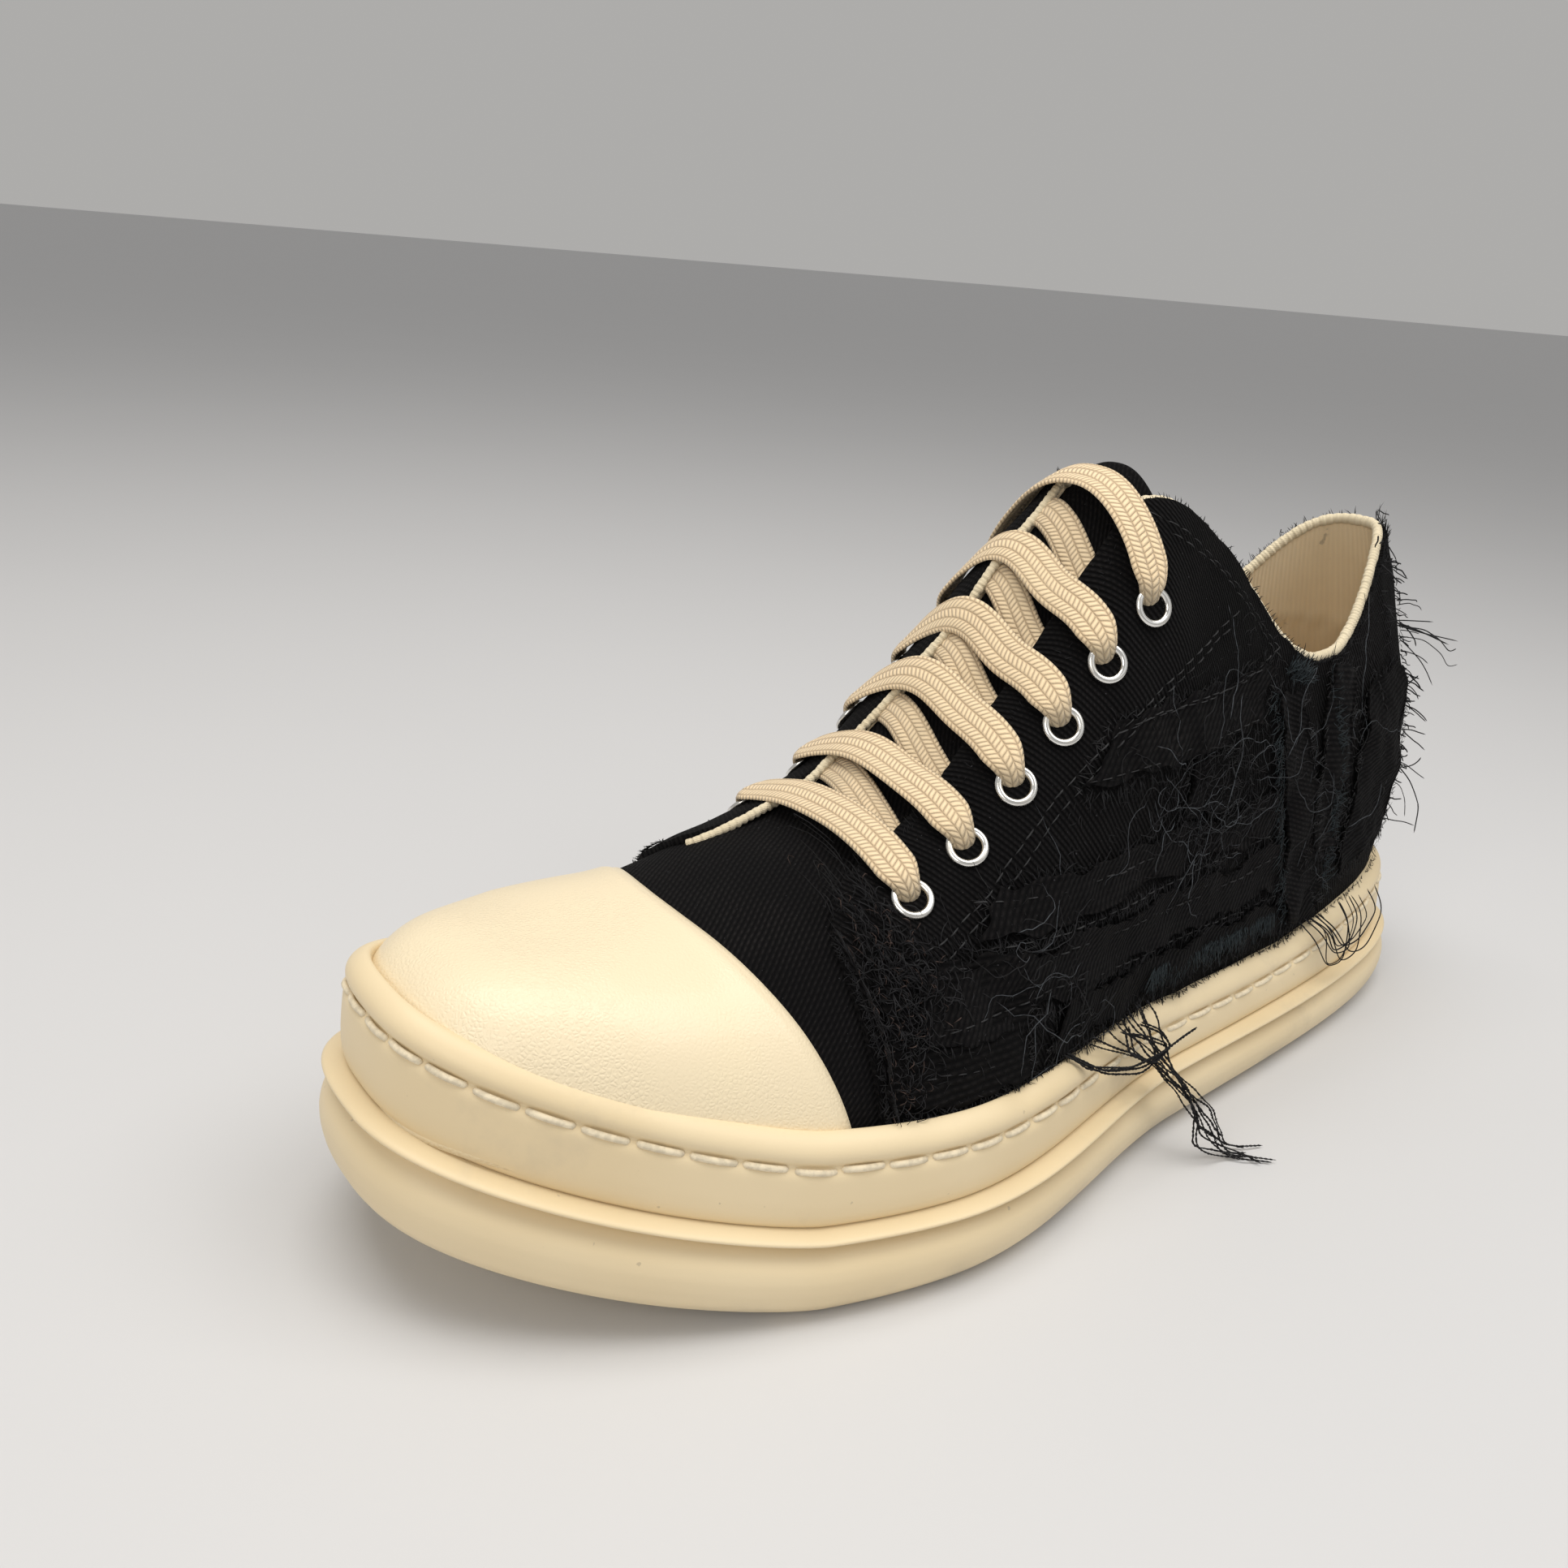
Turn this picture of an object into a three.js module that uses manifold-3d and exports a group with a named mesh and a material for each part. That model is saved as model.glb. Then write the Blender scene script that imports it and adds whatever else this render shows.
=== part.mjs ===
// Left low-cut sneaker with a deep rubber cup sole, a leather toe cap and a canvas upper.
// Millimetres. +X runs from heel to toe, +Y to the outer (lateral) side, +Z up from the floor.
import * as THREE from 'three';
import { mergeVertices } from 'three/addons/utils/BufferGeometryUtils.js';
import Module from 'manifold-3d';

const wasm = await Module();
wasm.setup();

// ---- driving dimensions ----
const LENGTH = 305; // longest measure of the sole, at its lip
const GAP = 0.3; // left between neighbouring pieces
const WALL = 2; // thickness of the upper
const CAP_THICK = 1.6;
const CAP_RISE = 3; // cap's hidden lower edge, above the outsole
const UPPER_INSET = 9; // upper's outside, in from the sole's lip
const BASE_GAP = 0.35; // upper and insole above the outsole
const INSOLE_THICK = 5;
const TONGUE_THICK = 2.5;
const THROAT_CENTRE = -4.3;
const THROAT_HALF = 13;
const THROAT_FRONT = 61;
const TONGUE_HALF = 18.5;
const TONGUE_FRONT = 67;
const TONGUE_TOP = -15;
const EYELET_COUNT = 6;
const EYELET_PITCH = 16.4;
const EYELET_FIRST_X = 50.7;
const EYELET_RADIUS = 4.65;
const EYELET_BORE = 2.75;
const EYELET_BARREL = 3.25;
const HOLE_RADIUS = 3.6;
const FLANGE_UNDER = 0.4; // eyelet flange's underside, above the upper; the cloth is pressed in below it
const LACE_WIDTH = 8;
const LACE_THICK = 1.2;
const LACE_HEIGHT = 3; // bars, above the upper's outside
const CROSS_DEPTH = 0.4; // crossings, below the upper's outside
const TREAD_DEPTH = 1.5;
const CENTRE_Y = 1.97; // middle of the whole width, off the sole's long axis

const HALF = LENGTH / 2;
const UPPER_HALF = HALF - UPPER_INSET;
const TOE_POWER = 2.65; // superellipse power of the plan at the toe
const HEEL_POWER = 3;

const clamp01 = (t) => Math.min(Math.max(t, 0), 1);

/** Monotone cubic through [x, y] pairs in rising x, held level beyond both ends. */
function curve(points) {
  const n = points.length;
  const h = [];
  const rise = [];
  for (let i = 0; i + 1 < n; i++) {
    h.push(points[i + 1][0] - points[i][0]);
    rise.push((points[i + 1][1] - points[i][1]) / h[i]);
  }
  const slope = points.map((_, i) => {
    if (i === 0) return rise[0];
    if (i === n - 1) return rise[n - 2];
    if (rise[i - 1] * rise[i] <= 0) return 0;
    const a = 2 * h[i] + h[i - 1];
    const b = h[i] + 2 * h[i - 1];
    return (a + b) / (a / rise[i - 1] + b / rise[i]);
  });
  return (x) => {
    if (x <= points[0][0]) return points[0][1];
    if (x >= points[n - 1][0]) return points[n - 1][1];
    let i = 0;
    while (x > points[i + 1][0]) i++;
    const t = (x - points[i][0]) / h[i];
    const s = 1 - t;
    return points[i][1] * (1 + 2 * t) * s * s + points[i + 1][1] * (1 + 2 * s) * t * t
      + h[i] * t * s * (slope[i] * s - slope[i + 1] * t);
  };
}

// Half widths of the sole's lip, each side of the long axis.
const lateralHalf = curve([[-HALF, 35.5], [-110, 36.5], [-24, 42], [58, 58.2], [110, 54], [HALF, 48.6]]);
const medialHalf = curve([[-HALF, 37.5], [-110, 38.5], [-24, 38], [67, 53.1], [110, 58.7], [HALF, 55.8]]);
const toeShift = (x) => -6 * clamp01((x - 30) / 122) ** 2;
const spring = (x) => 16.65 * clamp01((x - 85) / 67.5) ** 1.31 + 1.3 * clamp01((-116 - x) / 36.5) ** 2;
const lipBase = curve([[-HALF, 16.2], [-61, 15.7], [46, 16.7], [HALF, 21]]);
const bandBase = curve([[-HALF, 36.6], [-61, 29.4], [46, 33.1], [HALF, 41.7]]);
const lipHeight = (x) => lipBase(x) + spring(x);
const bandTop = (x) => bandBase(x) + spring(x);

// The last: crest line over the foot, and the power of its arch sections.
const crest = curve([
  [-143.5, 150], [-40, 150], [-22, 148], [-10.7, 139], [1.75, 126], [12, 113], [25, 98],
  [37, 85], [51.6, 75.5], [65, 70.5], [80, 65.5], [95, 62], [120, 60.5], [143.5, 61.5],
]);
const archPower = curve([[-60, 2.3], [-10, 2.2], [20, 2], [55, 2.05], [85, 2.3], [112, 3.2]]);
const CREST_SHIFT = -3; // crest line's place beside the axis
const instepSlope = curve([[-12, 0], [-5, 4], [1, 6], [8, 6], [20, 4.2], [35, 2.2], [50, 0]]);
const TOE_DOME = [100, 4]; // where the toe starts to fall, and its power

/** Heel leaning forward at the collar, with a slight bulge above the sole. */
function heelLean(x, z) {
  const lean = 24 * clamp01((z - 76) / 56) ** 1.25;
  const bulge = 3 * Math.sin(Math.PI * clamp01((z - 36) / 60));
  return (lean - bulge) * clamp01((-60 - x) / 83.5);
}

/** Point of the last's outside: across is the plan's fullness there, phi runs lateral to medial. */
function lastPoint(x, across, phi) {
  const base = lipHeight(x) + BASE_GAP;
  const fall = (1 - clamp01((x - TOE_DOME[0]) / (UPPER_HALF - TOE_DOME[0])) ** TOE_DOME[1]) ** (1 / TOE_DOME[1]);
  const height = (crest(x) - base) * fall;
  const middle = toeShift(x) + CREST_SHIFT * across;
  const c = Math.cos(phi);
  const lateral = (lateralHalf(x) - UPPER_INSET - CREST_SHIFT) * across;
  const medial = (medialHalf(x) - UPPER_INSET + CREST_SHIFT) * across;
  const side = c > 0 ? lateral : medial + (lateral - medial) * Math.abs(Math.sin(phi));
  const power = 2 / archPower(x);
  const y = middle + side * Math.sign(c) * Math.abs(c) ** power;
  const arch = base + height * Math.abs(Math.sin(phi)) ** power;
  // The instep falls off more on its lateral side than on its medial one.
  const z = arch - instepSlope(x) * Math.exp(-(((y - 5) / 10) ** 2));
  return new THREE.Vector3(x + heelLean(x, z), y, z);
}

const fullness = (x, half) => {
  const power = x > 0 ? TOE_POWER : HEEL_POWER;
  return Math.max(1 - Math.abs(x / half) ** power, 0) ** (1 / power);
};
const surfacePoint = (x, phi) => lastPoint(x, fullness(x, UPPER_HALF), phi);

/** Outward normal of the last's outside. */
function surfaceNormal(x, phi) {
  const alongX = surfacePoint(x + 0.5, phi).sub(surfacePoint(x - 0.5, phi));
  const alongPhi = surfacePoint(x, phi + 0.01).sub(surfacePoint(x, phi - 0.01));
  return alongPhi.cross(alongX).normalize();
}

// ---- meshes and booleans ----
/** Mesh through rings of points. Unless they shrink to a line, the end rings are closed across. */
function loft(rings, capped = true) {
  const count = rings[0].length;
  const flat = rings.flat();
  const index = [];
  for (let i = 0; i + 1 < rings.length; i++) {
    for (let j = 0; j < count; j++) {
      const a = i * count + j;
      const b = i * count + ((j + 1) % count);
      index.push(a, b, b + count, a, b + count, a + count);
    }
  }
  const top = (rings.length - 1) * count;
  for (let j = 0; capped && j < count / 2 - 1; j++) {
    const [a, b, c, d] = [j, j + 1, count - 2 - j, count - 1 - j];
    index.push(b, a, d, b, d, c);
    index.push(top + a, top + b, top + d, top + b, top + c, top + d);
  }
  const geometry = new THREE.BufferGeometry().setFromPoints(flat);
  geometry.setIndex(index);
  return geometry;
}

/** Manifold body of a closed geometry, turned the right way out. */
function body(source) {
  const bare = source.clone();
  bare.deleteAttribute('normal');
  bare.deleteAttribute('uv');
  const welded = mergeVertices(bare, 1e-4);
  const from = welded.index.array;
  const kept = [];
  for (let i = 0; i < from.length; i += 3) {
    const [a, b, c] = [from[i], from[i + 1], from[i + 2]];
    if (a !== b && b !== c && c !== a) kept.push(a, b, c);
  }
  const build = (triangles) => new wasm.Manifold(new wasm.Mesh({
    numProp: 3,
    vertProperties: new Float32Array(welded.attributes.position.array),
    triVerts: new Uint32Array(triangles),
  }));
  const solid = build(kept);
  return solid.volume() > 0 ? solid : build(kept.reverse());
}

function geometryOf(solid) {
  const mesh = solid.getMesh();
  const geometry = new THREE.BufferGeometry();
  geometry.setAttribute('position', new THREE.BufferAttribute(new Float32Array(mesh.vertProperties), 3));
  geometry.setIndex(new THREE.BufferAttribute(new Uint32Array(mesh.triVerts), 1));
  return geometry;
}

const STATIONS = 32;
const ARCH_STEPS = 18;

/** The last's form grown by offset (or shrunk, when negative), its base dropped by drop. */
function lastForm(offset, drop, stations = STATIONS, steps = ARCH_STEPS) {
  const rows = [];
  for (let i = 0; i <= stations; i++) {
    const theta = (Math.PI * i) / stations;
    const c = Math.cos(theta);
    const power = 2 / (c > 0 ? TOE_POWER : HEEL_POWER);
    const x = Math.sign(c) * Math.abs(c) ** power * UPPER_HALF;
    const across = i === 0 || i === stations ? 0 : Math.sin(theta) ** power;
    rows.push(Array.from({ length: steps + 1 }, (_, j) => lastPoint(x, across, (Math.PI * j) / steps)));
  }
  const rings = rows.map((row, i) => {
    const ring = row.map((p, j) => {
      if (i === 0 || i === stations) return new THREE.Vector3(i === 0 ? offset : -offset, 0, 0).add(p);
      const alongX = rows[i - 1][j].clone().sub(rows[i + 1][j]);
      const alongPhi = row[Math.min(j + 1, steps)].clone().sub(row[Math.max(j - 1, 0)]);
      return alongPhi.cross(alongX).normalize().multiplyScalar(offset).add(p);
    });
    const [first, last] = [ring[0], ring[steps]];
    ring.push(new THREE.Vector3(last.x, last.y, row[0].z - drop));
    ring.push(new THREE.Vector3(first.x, first.y, row[0].z - drop));
    return ring;
  });
  return body(loft(rings, false));
}

/** Ring around the sole, offset outwards from the lip's outline, at height z(x). */
function soleRing(offset, z, segments) {
  const at = (theta) => {
    const c = Math.cos(theta);
    const s = Math.sin(theta);
    const power = 2 / (c > 0 ? TOE_POWER : HEEL_POWER);
    const x = Math.sign(c) * Math.abs(c) ** power * HALF;
    const half = s > 0 ? lateralHalf(x) : medialHalf(x);
    return new THREE.Vector2(x, toeShift(x) + half * Math.sign(s) * Math.abs(s) ** power);
  };
  return Array.from({ length: segments }, (_, i) => {
    const theta = (2 * Math.PI * (i + 0.5)) / segments;
    const p = at(theta);
    const along = at(theta + 0.02).sub(at(theta - 0.02)).normalize();
    const x = p.x + along.y * offset;
    return new THREE.Vector3(x, p.y - along.x * offset, z(x));
  });
}

/** Turned shape about Y from [radius, height] pairs. */
const turned = (profile) => new THREE.LatheGeometry(profile.map(([r, y]) => new THREE.Vector2(r, y)), 12);

/** Prism of a flat outline, extruded upwards from bottom to top. */
function prism(points, bottom, top) {
  const shape = new THREE.Shape(points.map(([x, y]) => new THREE.Vector2(x, y)));
  const geometry = new THREE.ExtrudeGeometry(shape, { depth: top - bottom, bevelEnabled: false });
  return body(geometry.translate(0, 0, bottom));
}

// ---- the pieces' outlines ----
const capEdge = (y) => 90 - 0.007 * (y + 3) ** 2;
const COLLAR = [
  [8, 126], [-2, 138], [-8, 142], [-15, 143.5], [-25, 139.5], [-36, 131.5], [-48, 120], [-58, 110.5],
  [-68, 104.5], [-78, 102], [-87, 102.5], [-95, 107], [-102, 114], [-109, 122], [-116, 128], [-124, 131],
  [-150, 132],
];

/** Everything above the collar line, from the flaps' top corners to the back of the heel. */
function collarCutter() {
  const outline = [...COLLAR, [-150, 220], [8, 220]].map(([x, z]) => new THREE.Vector2(x, z));
  const geometry = new THREE.ExtrudeGeometry(new THREE.Shape(outline), { depth: 160, bevelEnabled: false });
  return body(geometry.rotateX(Math.PI / 2).translate(0, 80, 0));
}

/** The slot between the flaps, grown sideways and forwards by margin. */
function throatCutter(margin) {
  const half = THROAT_HALF + margin;
  const front = THROAT_FRONT + margin;
  const side = [[front, 0], [front, half - 8], [front - 2.5, half - 2.5], [front - 8, half], [0, half],
    [-12, half - 4], [-30, half - 6]];
  const outline = [
    ...side.map(([x, y]) => [x, THROAT_CENTRE + y]),
    ...side.slice(1).reverse().map(([x, y]) => [x, THROAT_CENTRE - y]),
  ];
  return prism(outline, 50, 220);
}

/** The region in front of the cap's rear edge, its edge moved back by margin. */
function capRegion(margin) {
  const edge = Array.from({ length: 17 }, (_, i) => -80 + 10 * i).map((y) => [capEdge(y) - margin, y]);
  return prism([...edge, [200, 80], [200, -80]].reverse(), -20, 120);
}

/** Arch angles of the eyelets: rows 14.4 mm outside the throat's edges, at an equal pitch. */
function eyeletPlaces(sideSign) {
  const wantedY = (x) => CREST_SHIFT + sideSign * (24 + 0.075 * x);
  const phiAt = (x) => {
    let [low, high] = sideSign > 0 ? [0, Math.PI / 2] : [Math.PI / 2, Math.PI];
    for (let i = 0; i < 40; i++) {
      const mid = (low + high) / 2;
      if (surfacePoint(x, mid).y > wantedY(x)) low = mid;
      else high = mid;
    }
    return (low + high) / 2;
  };
  const places = [];
  let x = EYELET_FIRST_X;
  while (places.length < EYELET_COUNT) {
    const start = surfacePoint(x, phiAt(x));
    places.push({ x, phi: phiAt(x), point: start, normal: surfaceNormal(x, phiAt(x)) });
    while (surfacePoint(x, phiAt(x)).distanceTo(start) < EYELET_PITCH) x -= 0.05;
  }
  return places;
}
const lateralEyelets = eyeletPlaces(1);
const medialEyelets = eyeletPlaces(-1);

// ---- the pieces ----
function outsole() {
  const SEGMENTS = 50;
  // [offset from the lip's outline, height as a fraction of the lip's height]
  const profile = [[-6, 0], [-2.4, 0.05], [0.3, 0.2], [1.3, 0.43], [0.7, 0.6], [-1.6, 0.74], [-2.4, 0.83],
    [-0.4, 0.92], [0, 0.97], [-0.9, 1]];
  const rings = profile.map(([offset, level]) => soleRing(offset, (x) => spring(x) + level * lipBase(x), SEGMENTS));
  let solid = body(loft(rings));
  // Shallow arch under the waist, and channels between the main lugs.
  const arch = Array.from({ length: 9 }, (_, i) => -1 + i / 4).map((t) => [-22 + 40 * t, 1.6 * (1 - t * t)]);
  const archShape = new THREE.Shape([[-62, -2], [18, -2], ...arch.slice(1, -1).reverse()]
    .map(([x, z]) => new THREE.Vector2(x, z)));
  const archPrism = new THREE.ExtrudeGeometry(archShape, { depth: 160, bevelEnabled: false });
  solid = solid.subtract(body(archPrism.rotateX(Math.PI / 2).translate(0, 80, 0)));
  for (const x of [-128, -108, -88, 34, 52, 70]) {
    const channel = new THREE.BoxGeometry(4, 160, 2 * TREAD_DEPTH).translate(x, 0, 0);
    solid = solid.subtract(body(channel));
  }
  return solid;
}

function foxing() {
  const SEGMENTS = 50;
  // [offset, height between the lip (0) and the band's top (1)]
  const profile = [[-0.9, 0], [-2.2, 0.12], [-3, 0.45], [-4, 0.72], [-5.2, 0.9], [-6.6, 0.98], [-8.3, 1]];
  const rings = profile.map(([offset, level]) => soleRing(
    offset,
    (x) => lipHeight(x) + GAP + level * (bandTop(x) - lipHeight(x) - GAP),
    SEGMENTS,
  ));
  const cap = lastForm(GAP + CAP_THICK + GAP, 30).intersect(capRegion(GAP));
  return body(loft(rings)).subtract(lastForm(GAP, 30)).subtract(cap);
}

function insole() {
  const slab = [BASE_GAP, BASE_GAP + INSOLE_THICK].map((rise) => soleRing(-6, (x) => lipHeight(x) + rise, 48));
  return body(loft(slab)).intersect(lastForm(-WALL - GAP, 30, STATIONS, 6));
}

function upper() {
  let solid = lastForm(0, 0).subtract(lastForm(-WALL, 30)).subtract(collarCutter()).subtract(throatCutter(0));
  for (const { point, normal } of [...lateralEyelets, ...medialEyelets]) {
    const drill = turned([[0, -7], [HOLE_RADIUS, -7], [HOLE_RADIUS, FLANGE_UNDER - GAP],
      [EYELET_RADIUS + GAP, FLANGE_UNDER - GAP], [EYELET_RADIUS + GAP, 7], [0, 7]]);
    drill.applyQuaternion(new THREE.Quaternion().setFromUnitVectors(new THREE.Vector3(0, 1, 0), normal));
    solid = solid.subtract(body(drill.translate(point.x, point.y, point.z)));
  }
  return solid;
}

function toeCap() {
  const aboveSole = [CAP_RISE, 60].map((rise) => soleRing(4, (x) => lipHeight(x) + rise, 48));
  return lastForm(GAP + CAP_THICK, 0).subtract(lastForm(GAP, 30)).intersect(capRegion(0))
    .intersect(body(loft(aboveSole)));
}

function tongue() {
  const half = TONGUE_HALF;
  const outline = [[TONGUE_FRONT, 0], [TONGUE_FRONT, half - 8], [TONGUE_FRONT - 6, half], [0, half],
    [TONGUE_TOP + 4, half - 6], [TONGUE_TOP, half - 12]];
  const plan = [
    ...outline.map(([x, y]) => [x, THROAT_CENTRE + y]),
    ...outline.slice(1).reverse().map(([x, y]) => [x, THROAT_CENTRE - y]),
  ];
  const outside = -WALL - GAP;
  return lastForm(outside, 0).subtract(lastForm(outside - TONGUE_THICK, 30)).intersect(prism(plan, 50, 220));
}

/** Rolled eyelet: flange on the outside and a barrel through the hole, as one turned ring. */
function eyeletGeometry() {
  const under = FLANGE_UNDER;
  return turned([
    [EYELET_BORE, -WALL + 0.4], [EYELET_BARREL, -WALL + 0.4], [EYELET_BARREL, under], [EYELET_RADIUS, under],
    [EYELET_RADIUS - 0.3, under + 0.6], [EYELET_BARREL + 0.5, under + 1], [EYELET_BORE, under + 0.5],
    [EYELET_BORE, -WALL + 0.4],
  ]);
}

/** Flat strip through stations of { point, normal }, square-edged and closed. */
function strip(stations, width, thick) {
  const rings = stations.map(({ point, normal }, i) => {
    const next = stations[Math.min(i + 1, stations.length - 1)].point;
    const previous = stations[Math.max(i - 1, 0)].point;
    const along = next.clone().sub(previous).normalize();
    const across = along.clone().cross(normal).normalize();
    const up = across.clone().cross(along).normalize();
    const corner = (a, b) => point.clone().addScaledVector(across, a * width / 2).addScaledVector(up, b * thick / 2);
    return [corner(-1, -1), corner(1, -1), corner(1, 1), corner(-1, 1)];
  });
  return body(loft(rings));
}

/** Lace bar over the flaps, from one lateral eyelet to the medial one across from it. */
function laceBar(i) {
  const steps = 10;
  const [a, b] = [lateralEyelets[i], medialEyelets[i]];
  const stations = Array.from({ length: steps + 1 }, (_, k) => {
    const t = k / steps;
    const x = a.x + (b.x - a.x) * t;
    const phi = a.phi + (b.phi - a.phi) * t;
    const normal = surfaceNormal(x, phi);
    return { point: surfacePoint(x, phi).addScaledVector(normal, LACE_HEIGHT), normal };
  });
  return strip(stations, LACE_WIDTH, LACE_THICK);
}

/** Slanting lace crossing in the throat, from below one bar to below the next on the other side. */
function laceCrossing(i) {
  const steps = 5;
  const [a, b] = [lateralEyelets[i], medialEyelets[i + 1]];
  const stations = Array.from({ length: steps + 1 }, (_, k) => {
    const t = 0.38 + (0.34 * k) / steps;
    const x = a.x + (b.x - a.x) * t;
    const phi = a.phi + (b.phi - a.phi) * t;
    const normal = surfaceNormal(x, phi);
    return { point: surfacePoint(x, phi).addScaledVector(normal, -CROSS_DEPTH), normal };
  });
  return strip(stations, LACE_WIDTH, LACE_THICK);
}

// ---- assembly ----
const material = (color, roughness, metalness = 0) => new THREE.MeshStandardMaterial({ color, roughness, metalness });
const RUBBER = 0xe2d5bb;
const LEATHER = 0xefe4cb;
const CANVAS = 0x15151a;
const LINING = 0xd8c7a3;
const COTTON = 0xe3cba6;
const NICKEL = 0xc8c8c4;

const shoe = new THREE.Group();
shoe.position.y = -CENTRE_Y;

function add(name, geometry, look) {
  const mesh = new THREE.Mesh(geometry, look);
  mesh.name = name;
  shoe.add(mesh);
  return mesh;
}

add('outsole', geometryOf(outsole()), material(RUBBER, 0.6));
add('foxing', geometryOf(foxing()), material(RUBBER, 0.55));
add('insole', geometryOf(insole()), material(LINING, 0.9));
add('upper', geometryOf(upper()), material(CANVAS, 0.95));
add('toe_cap', geometryOf(toeCap()), material(LEATHER, 0.5));
add('tongue', geometryOf(tongue()), material(CANVAS, 0.95));
for (const [side, places] of [['lateral', lateralEyelets], ['medial', medialEyelets]]) {
  places.forEach(({ point, normal }, i) => {
    const eyelet = add(`eyelet_${side}_${i + 1}`, eyeletGeometry(), material(NICKEL, 0.25, 1));
    eyelet.quaternion.setFromUnitVectors(new THREE.Vector3(0, 1, 0), normal);
    eyelet.position.copy(point);
  });
}
for (let i = 0; i < EYELET_COUNT; i++) add(`lace_bar_${i + 1}`, geometryOf(laceBar(i)), material(COTTON, 0.9));
for (let i = 0; i + 1 < EYELET_COUNT; i++) {
  add(`lace_crossing_${i + 1}`, geometryOf(laceCrossing(i)), material(COTTON, 0.9));
}

export default shoe;
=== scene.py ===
"""Worn left sneaker: frayed black canvas quarters and twill vamp, cream leather toe cap, flat cotton laces
in rolled eyelets, and a deep cream rubber cup sole. +X heel to toe, +Y lateral, +Z up, floor at zero."""
import math
import bpy
import mathutils
import numpy as np
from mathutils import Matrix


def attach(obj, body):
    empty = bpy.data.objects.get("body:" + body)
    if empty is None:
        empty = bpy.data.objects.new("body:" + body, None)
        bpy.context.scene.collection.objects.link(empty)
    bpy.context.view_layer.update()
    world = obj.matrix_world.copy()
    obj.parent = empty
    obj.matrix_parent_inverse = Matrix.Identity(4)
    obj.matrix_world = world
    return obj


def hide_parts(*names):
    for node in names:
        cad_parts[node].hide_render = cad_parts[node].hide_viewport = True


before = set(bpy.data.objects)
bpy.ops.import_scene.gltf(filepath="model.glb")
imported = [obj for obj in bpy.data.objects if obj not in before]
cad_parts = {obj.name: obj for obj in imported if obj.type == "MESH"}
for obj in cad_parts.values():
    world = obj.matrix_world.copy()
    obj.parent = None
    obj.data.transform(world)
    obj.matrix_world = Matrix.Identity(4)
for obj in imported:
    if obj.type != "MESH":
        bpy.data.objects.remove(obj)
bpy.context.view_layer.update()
rng = np.random.default_rng(11)

# ---------------------------------------------------------------- sizes, in millimetres
MM = 0.001
LENGTH = 305.0
HALF = LENGTH / 2
UPPER_INSET = 9.0
UPPER_HALF = HALF - UPPER_INSET
CENTRE_Y = 1.97
TOE_POWER, HEEL_POWER = 2.65, 3.0
TOE_DOME_X = 100
CREST_SHIFT = -3.0
EYELET_COUNT, EYELET_PITCH, EYELET_FIRST_X = 6, 16.4, 50.7


def unit(v):
    """Vectors scaled to length 1."""
    return v / np.maximum(np.linalg.norm(v, axis=-1, keepdims=True), 1e-9)


def lengths(path):
    """Running length along a polyline, or along each one of a stack, zero at its first point."""
    s = np.cumsum(np.linalg.norm(np.diff(path, axis=-2), axis=-1), axis=-1)
    return np.concatenate([0 * s[..., :1], s], -1)


def signed_power(value, power):
    """Power of the size of a value, with the value's own sign."""
    return np.sign(value) * np.abs(value) ** power


def bell(x, middle, width, power=2):
    """Hump of height 1 about the middle: exp(-((x - middle) / width)^power), with an even power."""
    return np.exp(-((x - middle) / width) ** power)


def step(a, b, x):
    """Smooth rise from 0 at a to 1 at b: t^2 * (3 - 2t)."""
    t = np.clip((x - a) / (b - a), 0, 1)
    return t * t * (3 - 2 * t)


def curve(points):
    """Monotone cubic through (x, y) pairs in rising x, level beyond both ends."""
    xs, ys = np.array(points, float).T
    h = np.diff(xs)
    rise = np.diff(ys) / h
    a, b = 2 * h[1:] + h[:-1], h[1:] + 2 * h[:-1]
    turn = rise[:-1] * rise[1:] > 0
    safe = np.where(turn, 1, 0)
    with np.errstate(divide="ignore", invalid="ignore"):
        inner = np.where(turn, (a + b) / (a / rise[:-1] + b / rise[1:]), 0)
    slope = np.concatenate([rise[:1], np.nan_to_num(inner) * safe, rise[-1:]])

    def value(x):
        x = np.clip(np.asarray(x, float), xs[0], xs[-1])
        i = np.clip(np.searchsorted(xs, x, side="right") - 1, 0, len(h) - 1)
        t = (x - xs[i]) / h[i]
        s = 1 - t
        return (ys[i] * (1 + 2 * t) * s * s + ys[i + 1] * (1 + 2 * s) * t * t
                + h[i] * t * s * (slope[i] * s - slope[i + 1] * t))
    return value


# Along the shoe: half widths of the sole's lip each side, then heights and the arch's squareness.
lateral_half = curve([(-HALF, 35.5), (-110, 36.5), (-24, 42), (58, 58.2), (110, 54), (HALF, 48.6)])
medial_half = curve([(-HALF, 37.5), (-110, 38.5), (-24, 38), (67, 53.1), (110, 58.7), (HALF, 55.8)])
lip_base = curve([(-HALF, 16.2), (-61, 15.7), (46, 16.7), (HALF, 21)])
band_base = curve([(-HALF, 36.6), (-61, 29.4), (46, 33.1), (HALF, 41.7)])
crest = curve([(-143.5, 150), (-40, 150), (-22, 148), (-10.7, 139), (1.75, 126), (12, 113), (25, 98),
               (37, 85), (51.6, 75.5), (65, 70.5), (80, 65.5), (95, 62), (120, 60.5), (143.5, 61.5)])
arch_power = curve([(-60, 2.3), (-10, 2.2), (20, 2), (55, 2.05), (85, 2.3), (112, 3.2)])
instep_slope = curve([(-12, 0), (-5, 4), (1, 6), (8, 6), (20, 4.2), (35, 2.2), (50, 0)])
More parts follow.
